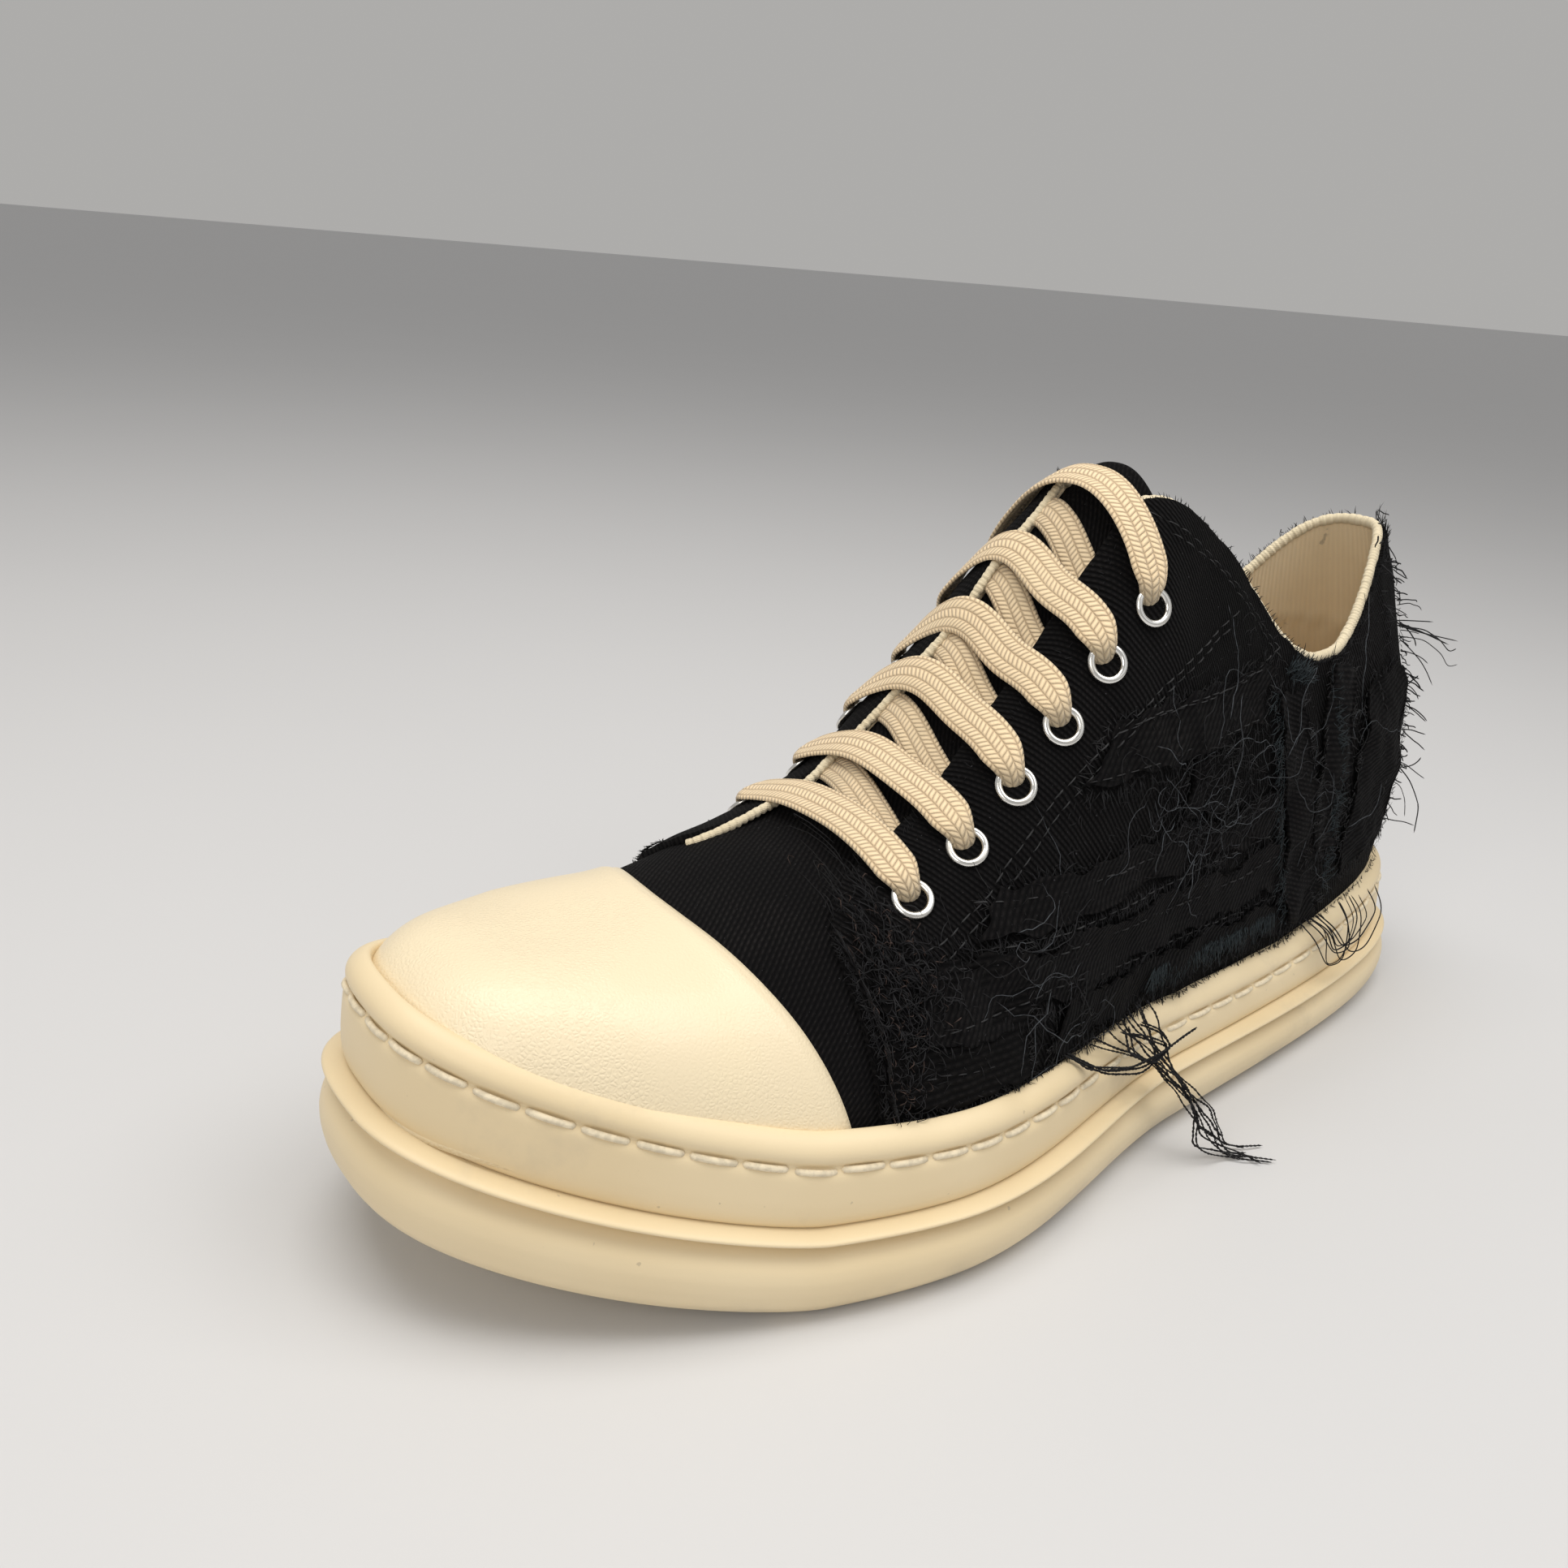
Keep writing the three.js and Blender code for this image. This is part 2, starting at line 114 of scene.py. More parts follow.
collar = curve([(-150, 132), (-124, 131), (-116, 128), (-109, 122), (-102, 114), (-95, 107), (-87, 102.5),
                (-78, 102), (-68, 104.5), (-58, 110.5), (-48, 120), (-36, 131.5), (-25, 139.5), (-15, 143.5)])


def toe_shift(x):
    """The long axis bends inwards in front of the ball."""
    return -6 * np.clip((x - 30) / 122, 0, 1) ** 2


def spring(x):
    """Toe spring, and the slight lift of the heel's edge."""
    return 16.65 * np.clip((x - 85) / 67.5, 0, 1) ** 1.31 + 1.3 * np.clip((-116 - x) / 36.5, 0, 1) ** 2


def lip_height(x):
    """Height of the sole's lip, where the side band begins."""
    return lip_base(x) + spring(x)


def band_top(x):
    """Height of the side band's top edge."""
    return band_base(x) + spring(x)


def heel_lean(x, z):
    """The heel's back bulges low down and leans forward under the collar."""
    lean = 24 * np.clip((z - 76) / 56, 0, 1) ** 1.25
    bulge = 3 * np.sin(np.pi * np.clip((z - 36) / 60, 0, 1))
    return (lean - bulge) * np.clip((-60 - x) / 83.5, 0, 1)


def plan_power(toeward):
    """Power of the plan's superellipse, 2/n, for its toe half or its heel half."""
    return 2 / np.where(toeward, TOE_POWER, HEEL_POWER)


def arch_span(x):
    """Height of the arch's foot at a station, and of its crown above that foot."""
    base = lip_height(x) + 0.35
    fall = (1 - np.clip((x - TOE_DOME_X) / (UPPER_HALF - TOE_DOME_X), 0, 1) ** 4) ** 0.25
    return base, (crest(x) - base) * fall


def last_point(theta, phi):
    """The last's outside: theta runs from toe to heel, phi over the arch from lateral to medial.

    Along the shoe the plan is a superellipse, x = half * cos(theta)^(2/n); across it each section is a
    superelliptic arch from the sole's lip to the crest line, with the side's own half width. The
    instep falls off more on the lateral side: z - slope(x) * exp(-((y - 5) / 10)^2)."""
    c = np.cos(theta)
    plan = plan_power(c > 0)
    x = signed_power(c, plan) * UPPER_HALF
    across = np.abs(np.sin(theta)) ** plan
    base, height = arch_span(x)
    middle = toe_shift(x) + CREST_SHIFT * across
    lateral = (lateral_half(x) - UPPER_INSET - CREST_SHIFT) * across
    medial = (medial_half(x) - UPPER_INSET + CREST_SHIFT) * across
    cp, sp = np.cos(phi), np.abs(np.sin(phi))
    side = np.where(cp > 0, lateral, medial + (lateral - medial) * sp)
    power = 2 / arch_power(x)
    y = middle + side * signed_power(cp, power)
    z = base + height * sp ** power - instep_slope(x) * bell(y, 5, 10)
    return np.stack(np.broadcast_arrays(x + heel_lean(x, z), y, z), -1)


def skin(theta, phi, lift=0.0):
    """Point of the last moved lift millimetres along its outward normal, and that normal."""
    e = 1.5e-3
    t = np.clip(theta, 2 * e, np.pi - 2 * e)
    f = np.clip(phi, 2 * e, np.pi - 2 * e)
    along = last_point(t + e, f) - last_point(t - e, f)
    over = last_point(t, f + e) - last_point(t, f - e)
    normal = unit(np.cross(along, over))
    return last_point(theta, phi) + normal * np.asarray(lift)[..., None], normal


def theta_of(x):
    """Plan angle of the station x."""
    x = np.asarray(x, float)
    return np.arccos(np.clip(signed_power(x / UPPER_HALF, 1 / plan_power(x > 0)), -1, 1))


def station_of(theta):
    """Station of a plan angle."""
    c = np.cos(theta)
    return signed_power(c, plan_power(c > 0)) * UPPER_HALF


def first_crossing(theta, side, inside):
    """Angle phi, going up from the base on one side, where inside(point) first falls below zero."""
    theta = np.atleast_1d(theta)
    sweep = np.linspace(0.01, np.pi / 2, 900)
    phi = sweep if side > 0 else np.pi - sweep
    value = inside(last_point(theta[:, None], phi[None]))
    out = value < 0
    k = np.maximum(np.where(out.any(1), out.argmax(1), len(sweep) - 1), 1)
    rows = np.arange(len(theta))
    a, b = value[rows, k - 1], value[rows, k]
    t = np.clip(a / np.where(np.abs(a - b) < 1e-9, 1, a - b), 0, 1)
    return phi[k - 1] + (phi[k] - phi[k - 1]) * t


# ---------------------------------------------------------------- mesh helpers
def grid_faces(rows, cols, wrap=False):
    """Quads of a rows by cols grid; with wrap the last column joins the first."""
    i, j = np.meshgrid(np.arange(rows - 1), np.arange(cols if wrap else cols - 1), indexing="ij")
    k = (j + 1) % cols
    return np.stack([i * cols + j, (i + 1) * cols + j, (i + 1) * cols + k, i * cols + k], -1).reshape(-1, 4)


def add_object(name, data):
    """Object holding the data, linked to the scene."""
    item = bpy.data.objects.new(name, data)
    bpy.context.scene.collection.objects.link(item)
    return item


def place(name, verts, faces, material, slot, uv=None, replaces=(), attribute=None):
    """Mesh object from arrays in millimetres, riding on the body, with its finish and uv in metres.

    Faces are rows of four corners; a row that ends on its first corner is a triangle. They are
    turned outward by the sign of the volume that they enclose."""
    mesh = bpy.data.meshes.new(name)
    verts = np.asarray(verts, float).reshape(-1, 3) - [0, CENTRE_Y, 0]
    faces = np.asarray(faces, int)
    a, b, c, d = (verts[faces[:, k]] for k in range(4))
    if np.einsum("ij,ij->", a, np.cross(b, c) + np.cross(c, d)) < 0:
        faces = faces[:, ::-1]
    used = np.ones(faces.shape, bool)
    used[:, 3] = faces[:, 3] != faces[:, 0]
    corners = faces[used]
    mesh.vertices.add(len(verts))
    mesh.vertices.foreach_set("co", (verts * MM).ravel())
    mesh.loops.add(len(corners))
    mesh.loops.foreach_set("vertex_index", corners)
    mesh.polygons.add(len(faces))
    mesh.polygons.foreach_set("loop_start", np.cumsum(used.sum(1)) - used.sum(1))
    mesh.polygons.foreach_set("use_smooth", np.ones(len(faces), bool))
    if uv is not None:
        layer = mesh.uv_layers.new(name="surface")
        layer.data.foreach_set("uv", (np.asarray(uv, float).reshape(-1, 2) * MM)[corners].ravel())
    # per-point darkening attribute: wear and stains, and on some pieces painted shade
    if attribute is not None:
        layer = mesh.attributes.new("wear_and_shade", "FLOAT", "POINT")
        layer.data.foreach_set("value", np.asarray(attribute, float).ravel())
    mesh.update(calc_edges=True)
    mesh.validate()
    piece = add_object(name, mesh)
    mesh.materials.append(material)
    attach(piece, "root")
    if replaces:
        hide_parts(*replaces)
    return piece


def shell(outer, inner):
    """Closed wall between two grids of the same shape: both faces and the rim around them."""
    rows, cols = outer.shape[:2]
    n = rows * cols
    face = grid_faces(rows, cols)
    index = np.arange(n).reshape(rows, cols)
    rim = np.concatenate([index[0, :], index[1:, -1], index[-1, -2::-1], index[-2:0:-1, 0]])
    nxt = np.roll(rim, -1)
    side = np.stack([rim, nxt, nxt + n, rim + n], -1)
    verts = np.concatenate([outer.reshape(-1, 3), inner.reshape(-1, 3)])
    return verts, np.concatenate([face, face[:, ::-1] + n, side])


def resample(path, count):
    """Points at equal lengths along a polyline."""
    s = lengths(path)
    t = np.linspace(0, s[-1], count)
    return np.stack([np.interp(t, s, path[:, k]) for k in range(path.shape[1])], -1)


def smooth_path(points, count, passes=3):
    """Smooth curve near given points: resampled, then averaged with its neighbours."""
    return smooth_points(resample(np.asarray(points, float), count), passes * max(count // 12, 1))


def smooth_points(points, passes):
    """Each point but the first and last averaged with its neighbours, 1 : 2 : 1."""
    points = points.copy()
    for _ in range(passes):
        points[1:-1] = (points[:-2] + 2 * points[1:-1] + points[2:]) / 4
    return points


def tubes(paths, radius, sides, taper=1.0):
    """Round strands along an (n, k, 3) array of paths, closed at both ends by shrinking to a point."""
    paths = np.asarray(paths, float)
    n, k = paths.shape[:2]
    tangent = unit(np.gradient(paths, axis=1))
    helper = np.where(np.abs(tangent[..., 2:3]) < 0.9, np.array([0, 0, 1.0]), np.array([1.0, 0, 0]))
    a = unit(np.cross(tangent, helper))
    b = np.cross(tangent, a)
    r = np.broadcast_to(np.asarray(radius, float).reshape(-1, 1), (n, 1)) * np.linspace(1, taper, k)[None]
    r = r * np.where((np.arange(k) == 0) | (np.arange(k) == k - 1), 0.15, 1)[None]
    w = np.arange(sides) * 2 * np.pi / sides
    ring = a[:, :, None] * np.cos(w)[:, None] + b[:, :, None] * np.sin(w)[:, None]
    verts = paths[:, :, None] + ring * r[..., None, None]
    fan = np.array([(0, q + 1, q + 2, 0) for q in range(sides - 2)])
    one = np.concatenate([grid_faces(k, sides, wrap=True)[:, ::-1], fan[:, ::-1], fan + (k - 1) * sides])
    faces = one[None] + (np.arange(n) * k * sides)[:, None, None]
    return verts.reshape(-1, 3), faces.reshape(-1, 4)


# ---------------------------------------------------------------- materials
def operation(kind, reflected=False):
    """A Math node as a method of a socket."""
    def method(self, other=0.0):
        return self.apply(kind, other, self) if reflected else self.apply(kind, self, other)
    return method


class Sock:
    """A node socket that takes part in Python arithmetic."""

    def __init__(self, tree, socket):
        self.tree, self.socket = tree, socket

    def apply(self, kind, a, b=0.0, clamp=False):
        node = self.tree.nodes.new("ShaderNodeMath")
        node.operation = kind
        node.use_clamp = clamp
        for slot, value in zip(node.inputs, (a, b)):
            if isinstance(value, Sock):
                self.tree.links.new(value.socket, slot)
            else:
                slot.default_value = value
        return Sock(self.tree, node.outputs[0])

    def clamp(self):
        return self.apply("ADD", self, 0.0, clamp=True)

    __add__ = operation("ADD")
    __radd__ = operation("ADD", True)
    __sub__ = operation("SUBTRACT")
    __rsub__ = operation("SUBTRACT", True)
    __mul__ = operation("MULTIPLY")
    __rmul__ = operation("MULTIPLY", True)
    __truediv__ = operation("DIVIDE")
    __pow__ = operation("POWER")
    sin = operation("SINE")
    abs = operation("ABSOLUTE")
    fract = operation("FRACT")
    floor = operation("FLOOR")


class Finish:
    """A material being built, with one method that adds any node."""

    def __init__(self, name):
        self.material = bpy.data.materials.new(name)
        self.material.use_nodes = True
        self.tree = self.material.node_tree
        self.tree.nodes.clear()
        self.shader = self.tree.nodes.new("ShaderNodeBsdfPrincipled")
        out = self.tree.nodes.new("ShaderNodeOutputMaterial")
        self.tree.links.new(self.shader.outputs[0], out.inputs[0])

    def node(self, kind, settings=None, inputs=None, output=0):
        node = self.tree.nodes.new("ShaderNode" + kind)
        for key, value in (settings or {}).items():
            setattr(node, key, value)
        for key, value in (inputs or {}).items():
            if isinstance(value, Sock):
                self.tree.links.new(value.socket, node.inputs[key])
            else:
                node.inputs[key].default_value = value
        return Sock(self.tree, node.outputs[output])

    def parts(self, vector, count):
        """The first components of a vector in metres, as sockets in millimetres."""
        split = self.node("SeparateXYZ", None, {0: vector}).socket.node
        return [Sock(self.tree, split.outputs[k]) * 1000 for k in range(count)]

    def uv(self):
        """The piece's own uv."""
        return self.parts(self.node("UVMap", {"uv_map": "surface"}), 2)

    def place(self):
        """Object coordinates."""
        return self.node("TexCoord", output=3)

    def axes(self):
        return self.parts(self.place(), 3)

    def noise(self, scale, detail=3.0, rough=0.55):
        return self.node("TexNoise", None, {"Vector": self.place(), "Scale": scale, "Detail": detail,
                                            "Roughness": rough})

    def band(self, value, low, high):
        """Value mapped from low..high to 0..1, smoothly."""
        return self.node("MapRange", {"interpolation_type": "SMOOTHSTEP"},
                         {"Value": value, "From Min": low, "From Max": high})

    def mix(self, mask, a, b):
        node = self.tree.nodes.new("ShaderNodeMix")
        node.data_type = "RGBA"
        for index, value in ((0, mask), (6, a), (7, b)):
            if isinstance(value, Sock):
                self.tree.links.new(value.socket, node.inputs[index])
            else:
                node.inputs[index].default_value = value if index == 0 else (*value, 1)
        return Sock(self.tree, node.outputs[2])

    def finish(self, color, roughness, height, strength, distance, **constants):
        relief = self.node("Bump", None, {"Strength": strength, "Distance": distance, "Height": height})
        links = {"Base Color": color, "Roughness": roughness, "Normal": relief}
        for key, value in links.items():
            if isinstance(value, Sock):
                self.tree.links.new(value.socket, self.shader.inputs[key])
            else:
                self.shader.inputs[key].default_value = value
        for key, value in constants.items():
            self.shader.inputs[key.replace("_", " ")].default_value = value
        return self.material


RUBBER = (0.80, 0.665, 0.44)
LEATHER = (0.82, 0.70, 0.49)
COTTON = (0.88, 0.70, 0.46)
LINING = (1.0, 0.83, 0.57)
BLACK = (0.0022, 0.0021, 0.0025)
# Painted highlight colour for the twill's rib tops, stronger in worn patches.
WORN_RIB_HIGHLIGHT = (0.018, 0.0162, 0.0162)
FLOOR = (0.62, 0.62, 0.63)


def shade(color, *factors):
    """A colour darkened by one factor, or by one for each channel."""
    return tuple(c * k for c, k in zip(color, factors * (3 // len(factors))))


def moulded_rubber():
    """Cream rubber: cloudy tone, faint moulding pores as dark dots of painted shade, grey rubs at random, and
    darker patches near the floor.
    """
    f = Finish("moulded_rubber")
    z = f.axes()[2]
    cloud = f.noise(14, 3)
    speck = f.noise(900, 2)
    rub = f.band(f.noise(38, 5, 0.65), 0.56, 0.72)
    low = 1 - f.band(z, 1.0, 9.0)
    color = f.mix(f.band(cloud, 0.35, 0.7), RUBBER, shade(RUBBER, 0.94, 0.92, 0.88))
    color = f.mix(rub * 0.22, color, (0.50, 0.43, 0.32))
    # darker in patches towards the floor
    color = f.mix(low * f.band(f.noise(60, 4), 0.4, 0.7) * 0.45, color, (0.30, 0.27, 0.22))
    # moulding pores as dark dots: painted shade
    dot = f.band(f.noise(420, 2, 0.5), 0.74, 0.78)
    color = f.mix(dot * 0.35, color, (0.25, 0.20, 0.15))
    height = cloud * 0.3 + speck * 0.5
    return f.finish(color, 0.46 + 0.16 * rub, height, 0.16, 0.0003, Specular_IOR_Level=0.42)


def cap_leather():
    """Smooth coated leather: fine cell grain, stronger low on the sides, faint yellow tints."""
    f = Finish("cap_leather")
    grain = f.node("TexVoronoi", {"feature": "DISTANCE_TO_EDGE"},
                   {"Vector": f.place(), "Scale": 1150.0, "Randomness": 1.0})
    fine = f.noise(1900, 3)
    patch = f.band(f.noise(28, 3), 0.38, 0.62)
    tint = f.band(f.noise(22, 2), 0.5, 0.75)
    color = f.mix(tint * 0.5, LEATHER, (0.86, 0.74, 0.49))
    color = f.mix(f.band(f.noise(50, 5, 0.7), 0.62, 0.8) * 0.12, color, (0.55, 0.46, 0.33))
    height = f.band(grain, 0.0, 0.35) * (0.25 + 0.75 * patch) + fine * 0.25
    return f.finish(color, 0.36 + 0.10 * patch, height, 0.42, 0.0002,
                    Specular_IOR_Level=0.5, Coat_Weight=0.10)


def twill(name, pitch, angle, tint=1.0, strength=0.9):
    """Black diagonal twill: rounded ribs at an angle to the uv, each broken into short floats, with a painted
    highlight along the rib tops.
    """
    f = Finish(name)
    u, v = f.uv()
    c, s = math.cos(angle), math.sin(angle)
    wobble = f.noise(90, 3) * 0.8
    across = (u * c + v * s) / pitch + wobble
    along = (v * c - u * s) / (pitch * 1.55)
    cell = across.floor()
    rib = (across.fract() * (2 * math.pi)).sin() * 0.5 + 0.5
    floats = ((along + cell * 0.5).fract() * (2 * math.pi)).sin() * 0.5 + 0.5
    fuzz = f.noise(2600, 3, 0.7)
    height = rib * 0.75 + floats * rib * 0.35 + fuzz * 0.4
    worn = f.band(f.noise(45, 5, 0.65), 0.45, 0.75)
    # painted highlight: rib tops and floats lighter, scaled by worn patches and fuzz
    light = (rib * (0.35 + 0.65 * floats)) * (0.45 + 0.55 * worn) * (0.5 + fuzz)
    color = f.mix(light.clamp(), shade(BLACK, tint), shade(WORN_RIB_HIGHLIGHT, tint))
    lint = f.band(f.noise(1500, 2, 0.5), 0.735, 0.77)
    color = f.mix(lint * 0.35, color, (0.12, 0.12, 0.13))
    return f.finish(color, 0.92, height, strength, 0.0005, Sheen_Weight=0.01, Specular_IOR_Level=0.08)


def plain_thread(name, color, rough=0.85, dark=0.5):
    """Spun thread: twisted plies as fine diagonal bump, with uneven tone."""
    f = Finish(name)
    tone = f.noise(700, 3)
    base = f.mix(f.band(tone, 0.35, 0.65), shade(color, dark), color)
    return f.finish(base, rough, f.noise(4500, 2), 0.4, 0.0001, Specular_IOR_Level=0.25)


def lace_tape():
    """Flat braided cotton: columns of slanted picks leaning alternately, so they meet in zigzags; painted
    shade darkens the gaps between picks and the grooves between columns, and grime and painted shade darken
    the tape where its attribute is high.
    """
    f = Finish("lace_tape")
    u, v = f.uv()
    column = v / 2.05 + 0.5
    lean = ((column.floor() * 0.5).fract() - 0.25) * 4
    inside = column.fract() - 0.5
    wander = f.noise(260, 2) * 0.5
    picks = (u / 1.2 + lean * inside * 0.95 + wander).fract()
    yarn = (picks * math.pi).sin() ** 0.6
    groove = 1 - (inside.abs() * 2) ** 5
    fuzz = f.noise(2600, 3, 0.65)
    height = yarn * groove + fuzz * 0.35
    # painted shade: darker in the gaps between picks and along the column grooves
    color = f.mix((yarn * groove).clamp(), (0.50, 0.36, 0.215), COTTON)
    color = f.mix(f.band(f.noise(70, 4), 0.4, 0.75) * 0.3, color, (0.78, 0.62, 0.40))
    # darker where the tape dips into the eyelets and beneath the flaps: grime and painted shade
    grime_and_shade = f.node("Attribute", {"attribute_name": "wear_and_shade"}, output=2)
    grime_and_shade_mix = (grime_and_shade * (0.35 + 0.65 * f.band(f.noise(170, 4), 0.3, 0.6))).clamp() * 0.8
    color = f.mix(grime_and_shade_mix, color, (0.31, 0.26, 0.18))
    return f.finish(color, 0.88, height, 0.8, 0.00045, Sheen_Weight=0.2, Specular_IOR_Level=0.25)


def lining_cloth(name, color, pitch=1.6):
    """Cream cotton lining: upright ribs of fine twill with painted shade in the rib valleys, soiled brown in
    broad patches, and browned more where its darkening attribute is high: wear and stains, and on the lining
    painted shade deep inside the shoe.
    """
    f = Finish(name)
    u, v = f.uv()
    rib = ((u / pitch).fract() * (2 * math.pi)).sin() * 0.5 + 0.5
    fine = (((u + v) / 0.55).fract() * (2 * math.pi)).sin() * 0.5 + 0.5
    soil = f.band(f.noise(24, 4, 0.6), 0.42, 0.72)
    wear_and_shade = f.node("Attribute", {"attribute_name": "wear_and_shade"}, output=2)
    # painted shade: rib valleys a little darker
    base = f.mix(rib * 0.5, shade(color, 0.93), color)
    # brown from soil patches and the darkening attribute: stains and wear, and painted shade low inside the
    # shoe
    base = f.mix((soil * 0.2 + wear_and_shade * 0.6).clamp(), base, shade(color, 0.56, 0.48, 0.36))
    base = f.mix(f.band(f.noise(240, 3), 0.68, 0.76) * 0.4, base, (0.15, 0.12, 0.09))
    return f.finish(base, 0.93, rib * 0.6 + fine * 0.35 + f.noise(2200, 2) * 0.3, 0.55, 0.0004,
                    Sheen_Weight=0.15, Specular_IOR_Level=0.2)


def polished_nickel():
    """Bright rolled metal with fine turning lines and dulling smears."""
    f = Finish("polished_nickel")
    smear = f.band(f.noise(300, 4), 0.4, 0.7)
    color = f.mix(smear * 0.5, (0.83, 0.82, 0.79), (0.55, 0.52, 0.46))
    return f.finish(color, 0.16 + 0.2 * smear, f.noise(1500, 2), 0.05, 0.0001, Metallic=1.0)


def studio_floor():
    f = Finish("studio_floor")
    tone = f.noise(6, 3)
    return f.finish(f.mix(tone * 0.2, FLOOR, (0.56, 0.56, 0.57)), 0.75, f.noise(500, 2), 0.05, 0.0003)


# ---------------------------------------------------------------- camera, floor, light
def camera_and_stage():
    """Camera on the lateral front quarter, low and close, rolled a little; wide soft light from above."""
    azimuth, elevation, roll = math.radians(52.07), math.radians(20.51), math.radians(4.87)
    back = np.array([math.cos(elevation) * math.cos(azimuth), math.cos(elevation) * math.sin(azimuth),
                     math.sin(elevation)])
    spot = np.array([222.77, 202.40 - CENTRE_Y, 180.62]) * MM
    right = unit(np.cross(-back, [0, 0, 1.0]))
    up = np.cross(right, -back)
    r = right * math.cos(roll) + up * math.sin(roll)
    u = -right * math.sin(roll) + up * math.cos(roll)
    data = bpy.data.cameras.new("camera")
    data.sensor_width = 36
    data.lens = 1712.47 / 1932 * 36
    data.clip_start = 0.01
    camera = add_object("camera", data)
    matrix = np.eye(4)
    matrix[:3, 0], matrix[:3, 1], matrix[:3, 2], matrix[:3, 3] = r, u, back, spot
    camera.matrix_world = mathutils.Matrix(matrix.tolist())
    bpy.context.scene.camera = camera

    size = 40.0
    mesh = bpy.data.meshes.new("floor")
    corners = [(-size, -size, 0), (size, -size, 0), (size, size, 0), (-size, size, 0)]
    mesh.from_pydata(corners, [], [(0, 1, 2, 3)])
    mesh.materials.append(studio_floor())
    add_object("floor", mesh)

    world = bpy.data.worlds.new("studio")
    world.use_nodes = True
    world.node_tree.nodes["Background"].inputs[0].default_value = (1.0, 0.985, 0.96, 1)
    world.node_tree.nodes["Background"].inputs[1].default_value = 0.42
    bpy.context.scene.world = world
    bpy.context.scene.view_settings.view_transform = "Standard"
    for name, spot, watts, size, color in (
            ("key", (0.22, -0.05, 1.15), 7.2, 0.7, (1.0, 0.97, 0.92)),
            ("front", (1.15, 0.55, 0.8), 4.6, 0.7, (1.0, 0.96, 0.90)),
            ("side", (-0.5, 1.3, 0.9), 1.0, 1.0, (0.95, 0.97, 1.0)),
            ("top", (-0.2, 0.3, 0.75), 2.2, 0.5, (1.0, 0.98, 0.94))):
        lamp = bpy.data.lights.new(name, "AREA")
        lamp.energy, lamp.size, lamp.color = watts, size, color
        light = add_object(name, lamp)
        light.location = spot
        direction = mathutils.Vector(spot) - mathutils.Vector((0.03, 0.0, 0.06))
        light.rotation_euler = direction.to_track_quat("Z", "Y").to_euler()


camera_and_stage()

rubber = moulded_rubber()
leather = cap_leather()
vamp_twill = twill("vamp_twill", 1.105, 0.95)
quarter_canvas = twill("quarter_canvas", 1.0125, 0.5, tint=0.85)
tape = lace_tape()
lining = lining_cloth("lining_twill", LINING)
insole_cloth = lining_cloth("insole_cloth", (0.60, 0.49, 0.32), 1.1)
nickel = polished_nickel()
black_thread = plain_thread("black_thread", (0.018, 0.018, 0.020))
grey_thread = plain_thread("grey_thread", (0.075, 0.082, 0.092))
row_thread = plain_thread("row_thread", (0.038, 0.038, 0.040))
lint_thread = plain_thread("lint_thread", (0.075, 0.050, 0.042))
teal_thread = plain_thread("teal_thread", (0.035, 0.046, 0.052))
cream_thread = plain_thread("cream_thread", (0.80, 0.70, 0.52), 0.7, 0.8)


# ---------------------------------------------------------------- sole
SOLE_COLUMNS = 440
STITCH_DROP = 6.4  # stitch groove below the band's top
STITCH_PITCH = 9.6
FLEX_GROOVES = (-128, -108, -88, 34, 52, 70)


def outline(count):
    """Plan outline of the sole's lip at equal lengths, from the toe over the lateral side, with normals."""
    th = np.linspace(0, 2 * np.pi, 6001)[:-1]
    c, s = np.cos(th), np.sin(th)
    plan = plan_power(c > 0)
    x = signed_power(c, plan) * HALF
    half = np.where(s > 0, lateral_half(x), medial_half(x))
    y = toe_shift(x) + half * signed_power(s, plan)
    loop = np.stack([x, y], -1)
    path = resample(np.concatenate([loop, loop[:1]]), count + 1)[:-1]
    for _ in range(3):
        path = (np.roll(path, 1, 0) + 2 * path + np.roll(path, -1, 0)) / 4
    along = unit(np.roll(path, -1, 0) - np.roll(path, 1, 0))
    return path, np.stack([along[:, 1], -along[:, 0]], -1)


def dent_field(path):
    """Soft dents pressed in the band's top edge by handling, along the lateral waist and ball."""
    x, y = path[:, 0], path[:, 1]
    push = np.zeros(len(path))
    for at, width, depth in ((36, 5, 1.1), (22, 4, -0.7), (8, 6, 1.3), (-12, 4, 0.8), (-30, 6, 1.0),
                             (-52, 5, -0.5), (-75, 7, 0.8), (62, 6, 0.6)):
        push += depth * bell(x, at, width) * (y > 0)
    for at, width, depth in ((40, 7, 0.8), (-5, 6, 0.9), (-60, 8, 0.7)):
        push += depth * bell(x, at, width) * (y < 0)
    return push


def sole_ring(path, normal, offset, z):
    """The outline moved sideways by the offsets, at the heights z."""
    return np.column_stack([path + normal * np.asarray(offset)[:, None], z])


def band_profile(points, passes):
    """Profile through (offset, height, ...) rows with softened corners."""
    return smooth_points(resample(np.asarray(points, float), 80), passes)


